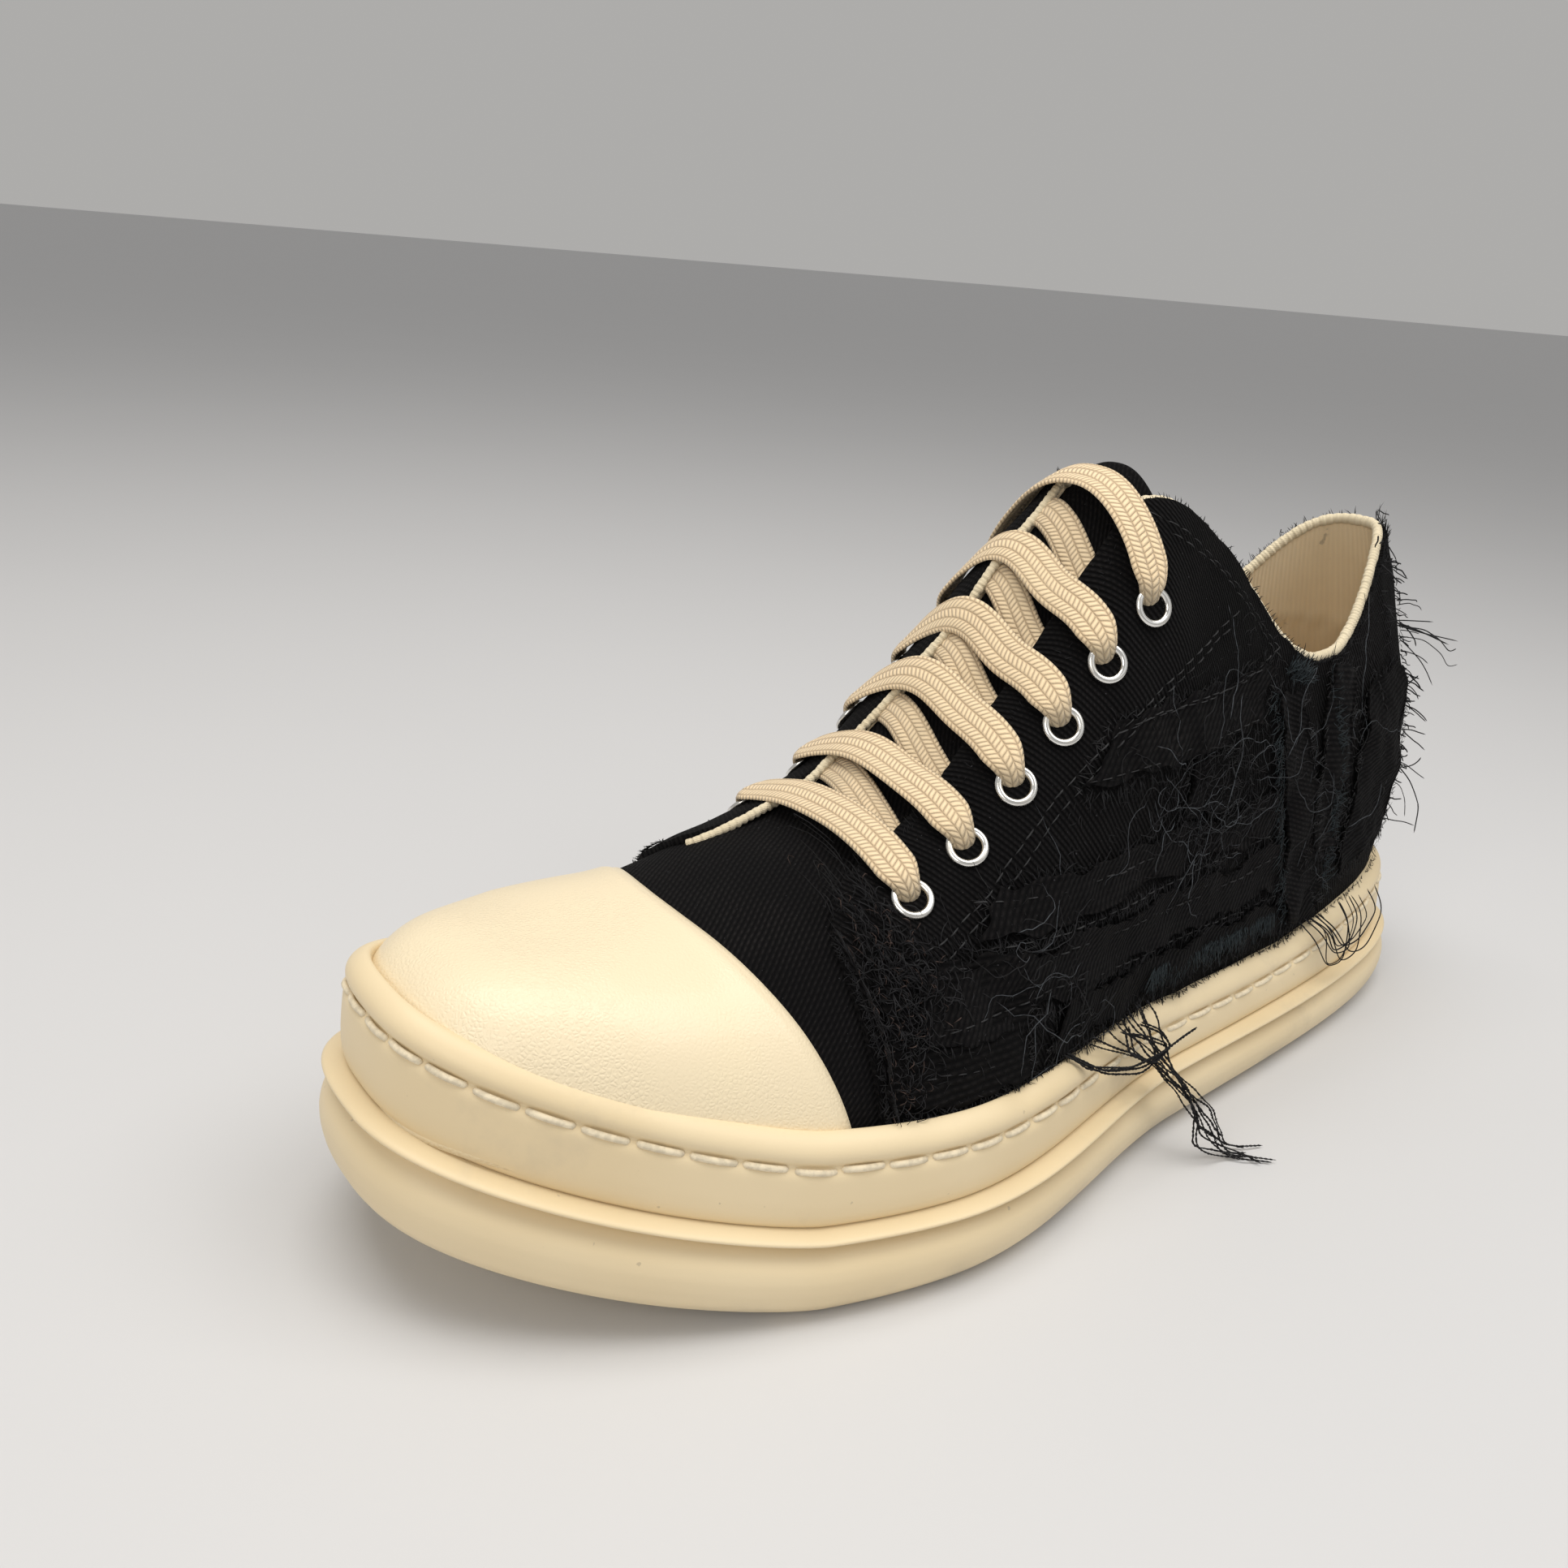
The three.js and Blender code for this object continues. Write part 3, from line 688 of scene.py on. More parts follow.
def outsole():
    """Lower band carried round the outline: rounded foot, bulge, hollow and the thin proud lip.

    Each ring is the outline moved sideways by the profile's offset at the profile's height; the
    underside is closed across, hollowed a little at the waist and grooved between the lugs."""
    n = SOLE_COLUMNS
    path, normal = outline(n)
    x = path[:, 0]
    profile = band_profile([
        (-9, 0), (-5.5, 0), (-3.2, 0.35), (-1.0, 1.6), (0.55, 3.6), (1.25, 6.3), (1.3, 8.6), (0.75, 10.6),
        (-0.6, 12.2), (-2.1, 13.3), (-3.2, 14.0), (-3.8, 14.5), (-3.7, 14.85), (-2.4, 15.05), (-0.9, 15.15),
        (0.3, 15.25), (0.8, 15.5), (0.8, 15.95), (0.2, 16.2), (-1.2, 16.4), (-3.6, 16.55), (-9, 16.6)], 2)
    scale = lip_base(x) / 16.5
    waves = 0.25 * np.sin(x / 17) * (path[:, 1] > 0)
    rings = []
    for offset, level in profile:
        lip = bell(level, 15.8, 0.9)
        rings.append(sole_ring(path, normal, offset + waves * lip, spring(x) + level * scale))
    side = np.array(rings)
    faces = [grid_faces(len(rings), n, wrap=True)]
    verts = [side.reshape(-1, 3)]
    # underside and top, closed across between points facing each other
    lateral = np.arange(0, n // 2 + 1)
    medial = (-lateral) % n
    for ring, flip, under in ((0, False, True), (len(rings) - 1, True, False)):
        a, b = side[ring][lateral], side[ring][medial]
        t = np.linspace(0, 1, 15)[:, None, None]
        web = a[None] * (1 - t) + b[None] * t
        if under:
            wx = web[..., 0]
            arch = 1.6 * np.clip(1 - ((wx + 22) / 40) ** 2, 0, 1)
            groove = sum(bell(wx, g, 1.7, 4) for g in FLEX_GROOVES)
            web[..., 2] += (4 * t * (1 - t))[..., 0] ** 0.25 * (arch + 1.5 * groove)
        start = sum(len(v) for v in verts)
        f = grid_faces(*web.shape[:2]) + start
        faces.append(f if flip else f[:, ::-1])
        verts.append(web.reshape(-1, 3))
    place("outsole_rubber", np.concatenate(verts), np.concatenate(faces), rubber, "sole_rubber",
          replaces=("outsole",))


def foxing():
    """Side band from the lip to the upper: nearly upright face, stitch groove and rounded bead on top."""
    n = SOLE_COLUMNS
    path, normal = outline(n)
    x = path[:, 0]
    dents = dent_field(path)
    low, high = lip_height(x), band_top(x)
    tall = high - low
    # (offset, height above the lip as a share of the face, height below the top edge)
    points = np.array([(-3.9, 0.0, 0), (-3.3, 0.05, 0), (-3.0, 0.25, 0), (-3.05, 0.5, 0), (-3.3, 0.75, 0),
                       (-3.6, 1.0, 0), (-3.85, 1.0, 1.0), (-4.35, 1.0, 1.65), (-5.35, 1.0, 2.15),
                       (-4.6, 1.0, 2.8), (-4.15, 1.0, 3.5), (-4.1, 1.0, 4.6), (-4.5, 1.0, 5.7),
                       (-5.3, 1.0, 6.7), (-6.4, 1.0, 7.5),
                       (-7.5, 1.0, 7.95), (-8.3, 1.0, 8.05), (-8.8, 1.0, 7.6), (-8.9, 1.0, 5.0),
                       (-8.9, 0.5, 0), (-8.9, 0.02, 0)])
    profile = band_profile(points * [1, 12, 1], 3) / [1, 12, 1]
    inner = 8.0  # height of the groove and bead together
    rings = []
    for offset, share, rise in profile:
        bead = np.clip(rise / inner, 0, 1)
        z = low + share * (tall - inner) + rise + 0.1
        z = z - dents * 0.7 * bead
        rings.append(sole_ring(path, normal, offset - dents * 0.8 * bead, z))
    verts = np.array(rings)
    faces = grid_faces(len(rings) + 1, n, wrap=True) % (len(rings) * n)
    place("foxing_rubber", verts.reshape(-1, 3), faces, rubber, "sole_rubber", replaces=("foxing",))


def foxing_stitches():
    """Thick cream stitches in the groove: each a strand that rises from one hole and dips into the next."""
    n = 3000
    path, normal = outline(n)
    count = int(lengths(np.concatenate([path, path[:1]]))[-1] / STITCH_PITCH)
    t = np.linspace(0.03, 0.97, 15)
    where = ((np.arange(count)[:, None] + t[None]) / count * n)
    i = where.astype(int) % n
    p, nn = path[i], normal[i]
    x = p[..., 0]
    dents = dent_field(p.reshape(-1, 2)).reshape(x.shape)
    rise = np.sin(np.pi * t)[None] ** 0.4
    wobble = rng.normal(0, 0.12, (count, 1))
    offset = -5.5 + 1.35 * rise - dents * 0.3
    z = band_top(x) - STITCH_DROP + 0.35 + wobble - 0.5 * (1 - rise) - dents * 0.2
    xy = p + nn * offset[..., None]
    strands = np.concatenate([xy, z[..., None]], -1)
    verts, faces = tubes(strands, 0.66, sides=8)
    place("foxing_stitching", verts, faces, cream_thread, "sole_rubber")


outsole()
foxing()
foxing_stitches()


# ---------------------------------------------------------------- upper
def cap_edge(y):
    """Station of the toe cap's arched rear edge."""
    return 90 - 0.007 * (y + 3) ** 2


def toe_cap():
    """Leather dome over the toe: the last's skin in front of an arched rear edge, 1.5 mm proud of it
    and more at the tip and beside the foxing."""
    rows, cols = 120, 120
    phi = np.linspace(0.03, np.pi - 0.03, cols)
    # plan angle of the rear edge for each arch angle: the first station past the edge's curve
    xs = np.linspace(60, 100, 161)
    p = last_point(theta_of(xs)[:, None], phi[None])
    value = p[..., 0] - cap_edge(p[..., 1])
    k = (value > 0).argmax(0)
    back = theta_of(xs[k])
    back = np.convolve(np.pad(back, 4, mode="edge"), np.ones(9) / 9, mode="valid")
    u = np.linspace(0, 1, rows)
    theta = 0.02 + (back[None] - 0.02) * u[:, None]
    ph = np.broadcast_to(phi, theta.shape)
    edge = step(0.965, 1.0, u)[:, None] ** 2
    dip = -1.6 * bell(theta, 0.70, 0.16) * bell(ph, 1.85, 0.4)
    front = 2.6 * bell(theta, 0, 0.85, 4) + 1.2 * bell(np.minimum(ph, np.pi - ph), 0, 0.28)
    outer, _ = skin(theta, ph, 1.45 + front - 1.1 * edge + dip)
    inner, _ = skin(theta, ph, -0.2 + 0 * theta + np.minimum(dip, 0))
    place("toe_cap_leather", *shell(outer, inner), leather, "cap_leather", replaces=("toe_cap",))


toe_cap()


# ---------------------------------------------------------------- upper: shape of its cloth
def arch_angle(x, z, side):
    """Arch angle at station x where the last reaches height z, on the side +1 lateral or -1 medial."""
    base, height = arch_span(x)
    share = np.clip((z - base) / height, 0, 1)
    phi = np.arcsin(share ** (arch_power(x) / 2))
    return phi if side > 0 else np.pi - phi


def on_side(x, z, side, lift=0.0):
    """Points of one side at stations x and heights z, moved out by the lift."""
    x, z, lift = np.broadcast_arrays(x, z, lift)
    return skin(theta_of(x), arch_angle(x, z, side), lift)[0]


def phi_at_y(x, y):
    """Arch angles where the section at each station x passes the sideways place y (same shapes)."""
    x, y = np.broadcast_arrays(np.asarray(x, float), np.asarray(y, float))
    flat_x, flat_y = x.ravel(), y.ravel()
    low, high = np.full(flat_x.shape, 0.02), np.full(flat_x.shape, np.pi - 0.02)
    th = theta_of(flat_x)
    for _ in range(34):
        mid = (low + high) / 2
        above = last_point(th, mid)[:, 1] > flat_y
        low, high = np.where(above, mid, low), np.where(above, high, mid)
    return ((low + high) / 2).reshape(x.shape)


def eyelet_places(side):
    """Six eyelets a side at an equal pitch up the flap: station, arch angle, point and normal."""
    places, x = [], EYELET_FIRST_X
    while len(places) < EYELET_COUNT:
        row = x - np.arange(0, 30, 0.05)
        phi = phi_at_y(row, -3 + side * (24 + 0.075 * row))
        p = last_point(theta_of(row), phi)
        places.append((row[0], phi[0], p[0], skin(theta_of(row[0]), phi[0])[1]))
        x = row[np.argmax(np.linalg.norm(p - p[0], axis=1) >= EYELET_PITCH)]
    return places


SIDES = ((1, "lateral"), (-1, "medial"))
EYELETS = {side: eyelet_places(side) for side, word in SIDES}

# Edges of the two flaps beside the throat: distance from the long axis.
lateral_flap = curve([(-30, 7.2), (-16, 9), (-8, 8.7), (0, 8.2), (10, 8.6), (20, 9.4), (31, 10.6), (45, 12.6),
                      (59.7, 15.2), (63, 16.8), (66.5, 20), (69, 25), (70.2, 33)])
medial_flap = curve([(-30, 11), (-12, 10.6), (2, 10.8), (25, 14), (34, 16), (47, 17), (59.7, 17.6),
                     (70, 19.2), (73, 21), (74.6, 26), (75.4, 33)])


def value_noise(a, b, seed, count=5):
    """Smooth unevenness about -1..1: waves of unit scale in a few random directions."""
    dice = np.random.default_rng(seed)
    total = 0
    for _ in range(count):
        angle, phase = dice.uniform(0, 2 * np.pi), dice.uniform(0, 2 * np.pi)
        pitch = dice.uniform(0.7, 1.7)
        total = total + np.sin((a * math.cos(angle) + b * math.sin(angle)) * pitch + phase)
    return total / count ** 0.5 / 1.2


def segment_distance(x, z, a, b):
    """Distance from (x, z) to the segment a-b, and the place along it from 0 to 1."""
    dx, dz = b[0] - a[0], b[1] - a[1]
    t = np.clip(((x - a[0]) * dx + (z - a[1]) * dz) / (dx * dx + dz * dz), 0, 1)
    return np.hypot(x - a[0] - t * dx, z - a[1] - t * dz), t


# Soft troughs (-) and ridges (+) of each quarter: from, to, width, depth.
CREASES = {
    1: [((44, 66), (34, 36), 5, -0.9), ((52, 62), (47, 40), 4, 0.7), ((14, 84), (-50, 93), 3.5, 0.5),
        ((2, 78), (-44, 80), 9, -1.0), ((-52, 98), (-72, 60), 4, 0.9), ((-58, 84), (-84, 34), 4, -0.9),
        ((-84, 98), (-88, 60), 3.5, 0.9), ((-96, 92), (-104, 40), 6, -0.8), ((38, 57), (-60, 61), 3, 0.6),
        ((56, 50), (-70, 51), 4, -0.6), ((20, 41), (-86, 36), 3.5, 0.9), ((-112, 104), (-126, 60), 5, 0.8),
        ((-20, 124), (-44, 104), 6, -0.6), ((60, 56), (70, 40), 4, 0.5)],
    -1: [((48, 62), (38, 36), 5, -0.8), ((56, 60), (52, 40), 4, 0.7), ((10, 86), (-54, 90), 4, 0.6),
         ((0, 72), (-48, 76), 9, -0.9), ((-56, 92), (-78, 50), 4, 0.8), ((-88, 92), (-92, 44), 5, -0.8),
         ((30, 54), (-66, 56), 3, 0.6), ((-110, 100), (-122, 56), 5, 0.7), ((10, 40), (-80, 37), 3.5, 0.8)],
}


def quarter_lift(x, z, side):
    """Height of a quarter's cloth over the last: thicker at its front edge and facing, creased and uneven."""
    lift = 0.55 + 0.75 * np.exp(-np.clip(70 - x, 0, 99) / 7)
    for a, b, width, depth in CREASES[side]:
        d, t = segment_distance(x, z, a, b)
        lift = lift + depth * bell(d, 0, width) * np.sin(np.pi * (0.12 + 0.76 * t))
    lift = lift + 0.22 * value_noise(x / 5, z / 5, 3 + side) + 0.12 * value_noise(x / 1.8, z / 1.8, 9 + side)
    low = step(36, 50, z)
    return lift * (0.35 + 0.65 * low) + 0.35 * (1 - low)


facing_line = curve([(-42, 116), (-25, 108), (-11, 101), (8, 88), (21, 78), (35, 66), (49, 58), (60, 55)])


def side_path(x_from, x_to, count):
    """Stations at equal plan lengths, so that columns stay even round the heel."""
    th = np.pi - np.linspace(0, 1, 4001) ** 1.6 * (np.pi - theta_of(max(x_from, x_to)))
    s = lengths(last_point(th, np.full_like(th, 0.35)))
    even = np.interp(np.linspace(0, s[-1], count), s, th)
    return even[::-1] if x_from > x_to else even


def collar_top(theta, side, drop=0.0):
    """Arch angle of a quarter's upper edge: the collar's line, or the flap's edge beside the throat."""
    flap = lateral_flap if side > 0 else medial_flap

    def inside(p):
        across = side * p[..., 1] - flap(p[..., 0]) + 60 * step(-26, -40, p[..., 0])
        below = collar(p[..., 0]) - drop - p[..., 2]
        corner = np.hypot(np.clip(6 - across, 0, 6), np.clip(6 - below, 0, 6))
        return np.where((across < 6) & (below < 6), 6 - corner, np.minimum(across, below))
    return first_crossing(theta, side, inside)


def metric_uv(points):
    """Uv from lengths: u down the middle column, v along each row from the middle."""
    mid = points.shape[1] // 2
    u, v = lengths(points[:, mid]), lengths(points)
    v = v - v[:, mid:mid + 1]
    return np.stack([np.broadcast_to(u[:, None], v.shape), v], -1)


def both_faces(uv):
    """The uv of a wall's outer grid, given to its inner grid too."""
    return np.concatenate([uv.reshape(-1, 2)] * 2)


def facing_rise(x, z, side):
    """1 within the eyelet facing beside the flap's edge, 0 below its stitched edge."""
    return step(facing_line(x) - 1.2, facing_line(x) + 1.2, z) * step(-46, -40, x)


def quarter(side, name):
    """Canvas of one side, from its raw front edge to the middle of the heel, up to the flap and collar."""
    rows, cols = (270, 78) if side > 0 else (200, 56)
    theta = side_path(70.0 if side > 0 else 75.2, -UPPER_HALF, rows)
    top = collar_top(theta, side, 0.6)
    top = top + rng.normal(0, 0.0015, rows)
    v = np.linspace(0, 1, cols)
    start = 0.012 if side > 0 else np.pi - 0.012
    phi = start + (top[:, None] - start) * v[None]
    th = np.broadcast_to(theta[:, None], phi.shape)
    x = station_of(th)
    z = last_point(th, phi)[..., 2]
    lift = quarter_lift(x, z, side) + 0.45 * facing_rise(x, z, side)
    rag = 0.35 * value_noise(z * 1.1, z * 0.3, 5) * (np.arange(rows) < 3)[:, None]
    outer, _ = skin(th, phi, lift + rag)
    inner, _ = skin(th, phi, -0.95 + 0 * lift)
    place(name, *shell(outer, inner), quarter_canvas, "upper_canvas", uv=both_faces(metric_uv(outer)),
          replaces=("upper",))


def vamp_and_tongue():
    """One twill cloth: the whole width in front of the quarters, and the tongue between the flaps."""
    x = np.concatenate([np.linspace(99, 58, 60), np.linspace(57.4, -21, 90)])
    w = np.linspace(-1, 1, 90)
    tongue_phi = phi_at_y(np.minimum(x, 69)[:, None], np.where(w[None] > 0, -2.5 + w * 20, -2.5 + w * 21))
    whole_phi = np.pi / 2 - w[None] * (np.pi / 2 - 0.015)
    blend = step(52, 64, x)[:, None]
    phi = tongue_phi * (1 - blend) + whole_phi * blend
    th = np.broadcast_to(theta_of(x)[:, None], phi.shape)
    y = last_point(th, phi)[..., 1]
    sunk = step(76, 58, x)[:, None] * bell(y, -2, 16, 6)
    soft = 0.25 * value_noise(x[:, None] / 9, y / 9, 21)
    ripple = 0.14 * bell(x[:, None] + 0.012 * (y + 4) ** 2, 79, 2.5)
    under_flaps = 0.8 * step(66, 58, x)[:, None] * (1 - sunk)
    lift = 0.05 - 2.3 * sunk - under_flaps + soft * step(97, 88, x)[:, None] + ripple
    outer, _ = skin(th, phi, lift)
    inner, _ = skin(th, phi, lift - 1.3)
    place("vamp_and_tongue_twill", *shell(outer, inner), vamp_twill, "tongue_canvas",
          uv=both_faces(metric_uv(outer)), replaces=("tongue",))


def lining_shell():
    """Cream lining inside the quarters, from the flaps round the heel, up to the collar's line."""
    per, cols = 110, 44
    back = side_path(52.0, -UPPER_HALF, per)
    theta = np.concatenate([back, back[::-1][1:]])
    side = np.concatenate([np.ones(per), -np.ones(per - 1)])
    top = np.concatenate([collar_top(back, 1, -0.2), collar_top(back[::-1][1:], -1, -0.2)])
    v = np.linspace(0, 1, cols)
    start = np.where(side > 0, 0.012, np.pi - 0.012)
    phi = start[:, None] + (top - start)[:, None] * v[None]
    th = np.broadcast_to(theta[:, None], phi.shape)
    base = last_point(th, phi)
    z = base[..., 2]
    seam = 0.7 * bell(z, 100, 0.8) - 0.5 * bell(z, 98.4, 0.7)
    heel = step(-55, -75, station_of(th))
    puff = 0.5 * value_noise(base[..., 0] / 14, z / 14, 31)
    outer, _ = skin(th, phi, -1.05 + 0 * z)
    inner, _ = skin(th, phi, -2.0 - seam * heel - puff * heel * np.sin(np.pi * v[None]))
    # darker towards the bottom of the lining, deep inside the shoe: painted shade; the heel term adds wear
    wear_and_shade = step(104, 84, z) * 0.22 + 0.5 * step(60, 34, z) + 0.12 * heel * (z < 100)
    place("lining_twill", *shell(outer, inner), lining, "lining", uv=both_faces(metric_uv(inner)),
          attribute=np.concatenate([wear_and_shade.ravel()] * 2))


def insole_sock():
    """Soiled cloth sock over the insole, cupped a little at its edge."""
    rows, cols = 100, 28
    th = np.pi * (0.02 + 0.96 * np.linspace(0, 1, rows))
    w = np.linspace(-1, 1, cols)
    lateral, _ = skin(th, np.full(rows, 0.14), -2.2)
    medial, _ = skin(th, np.full(rows, np.pi - 0.14), -2.2)
    t = (w[None, :, None] + 1) / 2
    web = lateral[:, None] * (1 - t) + medial[:, None] * t
    web[..., 2] = lip_height(station_of(th))[:, None] + 5.4 + 1.6 * np.abs(w[None]) ** 6
    under = web - [0, 0, 4.6]
    wear_and_shade = np.broadcast_to(0.35 + 0.4 * bell(w[None], 0, 0.5), web.shape[:2])
    place("insole_cloth", *shell(web, under), insole_cloth, "lining", uv=both_faces(metric_uv(web)),
          replaces=("insole",), attribute=np.concatenate([wear_and_shade.ravel()] * 2))


quarter(1, "quarter_lateral")
quarter(-1, "quarter_medial")
vamp_and_tongue()
lining_shell()
insole_sock()


# ---------------------------------------------------------------- eyelets and laces
LACE_THICK = 1.15
LACE_WIDTH = 9.0


def eyelets():
    """Rolled rings: a rounded flange turned about the hole's axis, running down into its barrel."""
    turn = np.linspace(0, 2 * np.pi, 40, endpoint=False)
    bend = np.linspace(-0.35, np.pi + 0.2, 14)
    radius = np.concatenate([[2.78, 2.78, 2.78], 3.62 - 0.8 * np.cos(bend)])
    height = np.concatenate([[-3.0, -1.2, 0.0], 0.5 + 0.7 * np.sin(bend)])
    radius = np.concatenate([radius, [4.2, 3.0, 3.0]])
    height = np.concatenate([height, [-0.1, -0.4, -3.0]])
    for side, word in SIDES:
        for i, (x, _, point, normal) in enumerate(EYELETS[side]):
            a = unit(np.cross(normal, [1.0, 0.2, 0]))
            b = np.cross(normal, a)
            rise = float(quarter_lift(x, point[2], side)) + 0.45
            ring = radius[:, None, None] * (np.cos(turn)[:, None] * a + np.sin(turn)[:, None] * b)
            verts = point + ring + (height + rise)[:, None, None] * normal
            faces = grid_faces(len(radius) + 1, len(turn), wrap=True) % verts[..., 0].size
            place(f"eyelet_ring_{word}_{i + 1}", verts, faces, nickel, "eyelet_metal",
                  replaces=(f"eyelet_{word}_{i + 1}",))


def tape_along(name, path, normals, width, crown, wear_and_shade, replaced):
    """Flat tape swept along a path: its face follows the normals, its section is a rounded slab.

    Section at v in -1..1: half thickness * (1 - v^8)^(1/2), lifted by crown * (1 - v^2)."""
    count = len(path)
    along = unit(np.gradient(path, axis=0))
    across = unit(np.cross(along, normals))
    face = np.cross(across, along)
    v = np.concatenate([np.linspace(-1, 1, 15), np.linspace(1, -1, 15)[1:-1]])
    sign = np.concatenate([np.ones(15), -np.ones(13)])
    half = LACE_THICK / 2 * sign * np.sqrt(np.clip(1 - v ** 8, 0, 1))
    ridges = 0.05 * np.cos(v * 4 * np.pi) * sign
    up = half[None] + ridges[None] + crown[:, None] * (1 - v[None] ** 2)
    verts = (path[:, None] + across[:, None] * (v[None] * width[:, None] / 2)[..., None]
             + face[:, None] * up[..., None])
    faces = grid_faces(count, len(v), wrap=True)
    start = np.array([(k, k + 1, 27 - k, (28 - k) % 28) for k in range(13)] + [(13, 14, 15, 13)])
    faces = np.concatenate([faces, start, start[:, ::-1] + (count - 1) * 28])
    uv = np.stack(np.broadcast_arrays(lengths(path)[:, None], v[None] * 4), -1)
    return place(name, verts, faces, tape, "lace_cotton", uv=uv, replaces=replaced,
                 attribute=np.repeat(wear_and_shade, len(v)))


def taut(s, height):
    """Least concave line over a height: the way a ribbon pulled tight passes over hollows."""
    i, j = np.triu_indices(len(s), 1)
    slope = (height[j] - height[i]) / (s[j] - s[i])
    line = height[i, None] + slope[:, None] * (s[None] - s[i, None])
    spans = (s[None] >= s[i, None]) & (s[None] <= s[j, None])
    return np.where(spans, line, -1e9).max(0)


def lace_bars():
    """Straight bars from lateral to medial eyelets: up out of each hole, over the flap, across the throat."""
    for i in range(EYELET_COUNT):
        (x0, f0, _, _), (x1, f1, _, _) = EYELETS[1][i], EYELETS[-1][i]
        t = np.linspace(0, 1, 60)
        length = lengths(skin(theta_of(x0 + (x1 - x0) * t), f0 + (f1 - f0) * t)[0])[-1]
        base = 0.2 * (i % 3) - 0.2
        # (distance from the hole, lift) from the hole to the middle of the bar
        near = [(1.2, -4.2), (1.0, -2.0), (0.8, 0.3), (1.1, 1.6), (2.0, 2.5), (4.0, 3.1), (8, 3.2 + base),
                (14, 2.9 + base)]
        far = [(0.3, -4.2), (0.3, -1.5), (0.4, 1.2), (1.6, 2.9), (4.5, 3.0), (9, 2.4 + base),
               (14, 1.8 + base)]
        points = near + [(length / 2, 1.5 + base)] + [(length - s, h) for s, h in far[::-1]]
        plan = smooth_path(points, 110, 1)
        s = plan[:, 0] / length
        bow = 0.9 * math.sin(i * 2.1 + 0.6) * np.sin(np.pi * np.clip(s, 0, 1))
        x = x0 + (x1 - x0) * s + bow
        path, normal = skin(theta_of(x), f0 + (f1 - f0) * s, plan[:, 1])
        on_top = np.flatnonzero(plan[:, 1] > 1.45)
        middle = slice(on_top[0], on_top[-1] + 1)
        up = unit(normal[middle].mean(0))
        forward = unit(path[on_top[-1]] - path[on_top[0]])
        height = path[middle] @ up
        path[middle] += (taut(path[middle] @ forward, height) - height)[:, None] * up
        path = smooth_points(path, 4)
        edge = np.minimum(plan[:, 0], length - plan[:, 0])
        deep = np.clip(-plan[:, 1] / 3, 0, 1)
        width = LACE_WIDTH - 3.8 * (1 - step(0.3, 7.0, edge)) - 1.1 * deep
        crown = 1.0 * (1 - step(0.5, 8, edge)) + 0.12
        twist = (0.16 * math.sin(i * 1.7) + (0.25 if i == 5 else 0)) * np.sin(np.pi * np.clip(s, 0, 1))
        side = unit(np.cross(np.gradient(path, axis=0), normal))
        tilted = unit(normal + side * twist[:, None])
        # the tape darkens towards the eyelet holes, where it dips in: grime and painted shade
        wear_and_shade = step(5.5, 0.2, edge)
        tape_along(f"lace_bar_tape_{i + 1}", path, tilted, width, crown, wear_and_shade, (f"lace_bar_{i + 1}",))


def lace_crossings():
    """Slanting runs beneath the flaps, from each medial eyelet down to the next lateral one."""
    for i in range(EYELET_COUNT - 1):
        (x0, f0, _, _), (x1, f1, _, _) = EYELETS[1][i], EYELETS[-1][i + 1]
        t = np.linspace(0.12, 0.9, 70)
        lift = -1.15 - 0.5 * np.cos(2 * np.pi * t) * 0.5 - 0.25 * (t < 0.2)
        path, normal = skin(theta_of(x0 + (x1 - x0) * t), f0 + (f1 - f0) * t, lift)
        ones = np.ones_like(t)
        # the runs beneath the flaps are darkened evenly by 0.25: painted shade
        tape_along(f"lace_crossing_tape_{i + 1}", path, normal, 8.2 * ones, 0.15 * ones, 0.25 * ones,
                   (f"lace_crossing_{i + 1}",))


eyelets()
lace_bars()
lace_crossings()


# ---------------------------------------------------------------- edges: collar band and flap piping
def rope(name, path, normals, wide, high, pitch, depth, material, slot):
    """Thick ragged edge: an oval swept along a path, its girth pulsing once per stitch."""
    count = len(path)
    along = unit(np.gradient(path, axis=0))
    across = unit(np.cross(along, normals))
    up = np.cross(across, along)
    s = lengths(path)
    w = np.linspace(0, 2 * np.pi, 12, endpoint=False)
    pulse = 1 + depth * (np.abs(np.sin(np.pi * s / pitch)) ** 0.7 - 0.5) + 0.07 * value_noise(s / 3, s, 8)
    pulse[[0, -1]] = 0.1
    wave = depth * 0.8 * np.sin(2 * np.pi * s[:, None] / pitch + w[None])
    verts = (path[:, None] + across[:, None] * ((wide * np.cos(w))[None] * pulse[:, None])[..., None]
             + up[:, None] * ((high * np.sin(w))[None] * (pulse[:, None] + 0.3 * wave))[..., None])
    faces = grid_faces(count, 12, wrap=True)
    caps = [[0, 1, 2, 3], [0, 3, 4, 11], [4, 5, 10, 11], [5, 6, 9, 10], [6, 7, 8, 9]]
    faces = np.concatenate([faces, caps, [[(count - 1) * 12 + q for q in c[::-1]] for c in caps]])
    uv = np.stack(np.broadcast_arrays(s[:, None], (w * 1.5)[None]), -1)
    return place(name, verts, faces, material, slot, uv=uv,
                 attribute=np.repeat(0.15 + 0.25 * value_noise(s / 9, s / 5, 4).clip(0, 1), 12))


def collar_line(drop, lift, count=360):
    """The collar from the lateral flap's corner round the heel to the medial corner, with normals."""
    back = side_path(-14.0, -UPPER_HALF, count)
    paths = []
    for side in (1, -1):
        phi = collar_top(back, side, drop)
        paths.append(skin(back, phi, lift + 0 * phi))
    points = np.concatenate([paths[0][0], paths[1][0][::-1][1:]])
    normals = np.concatenate([paths[0][1], paths[1][1][::-1][1:]])
    return points, normals


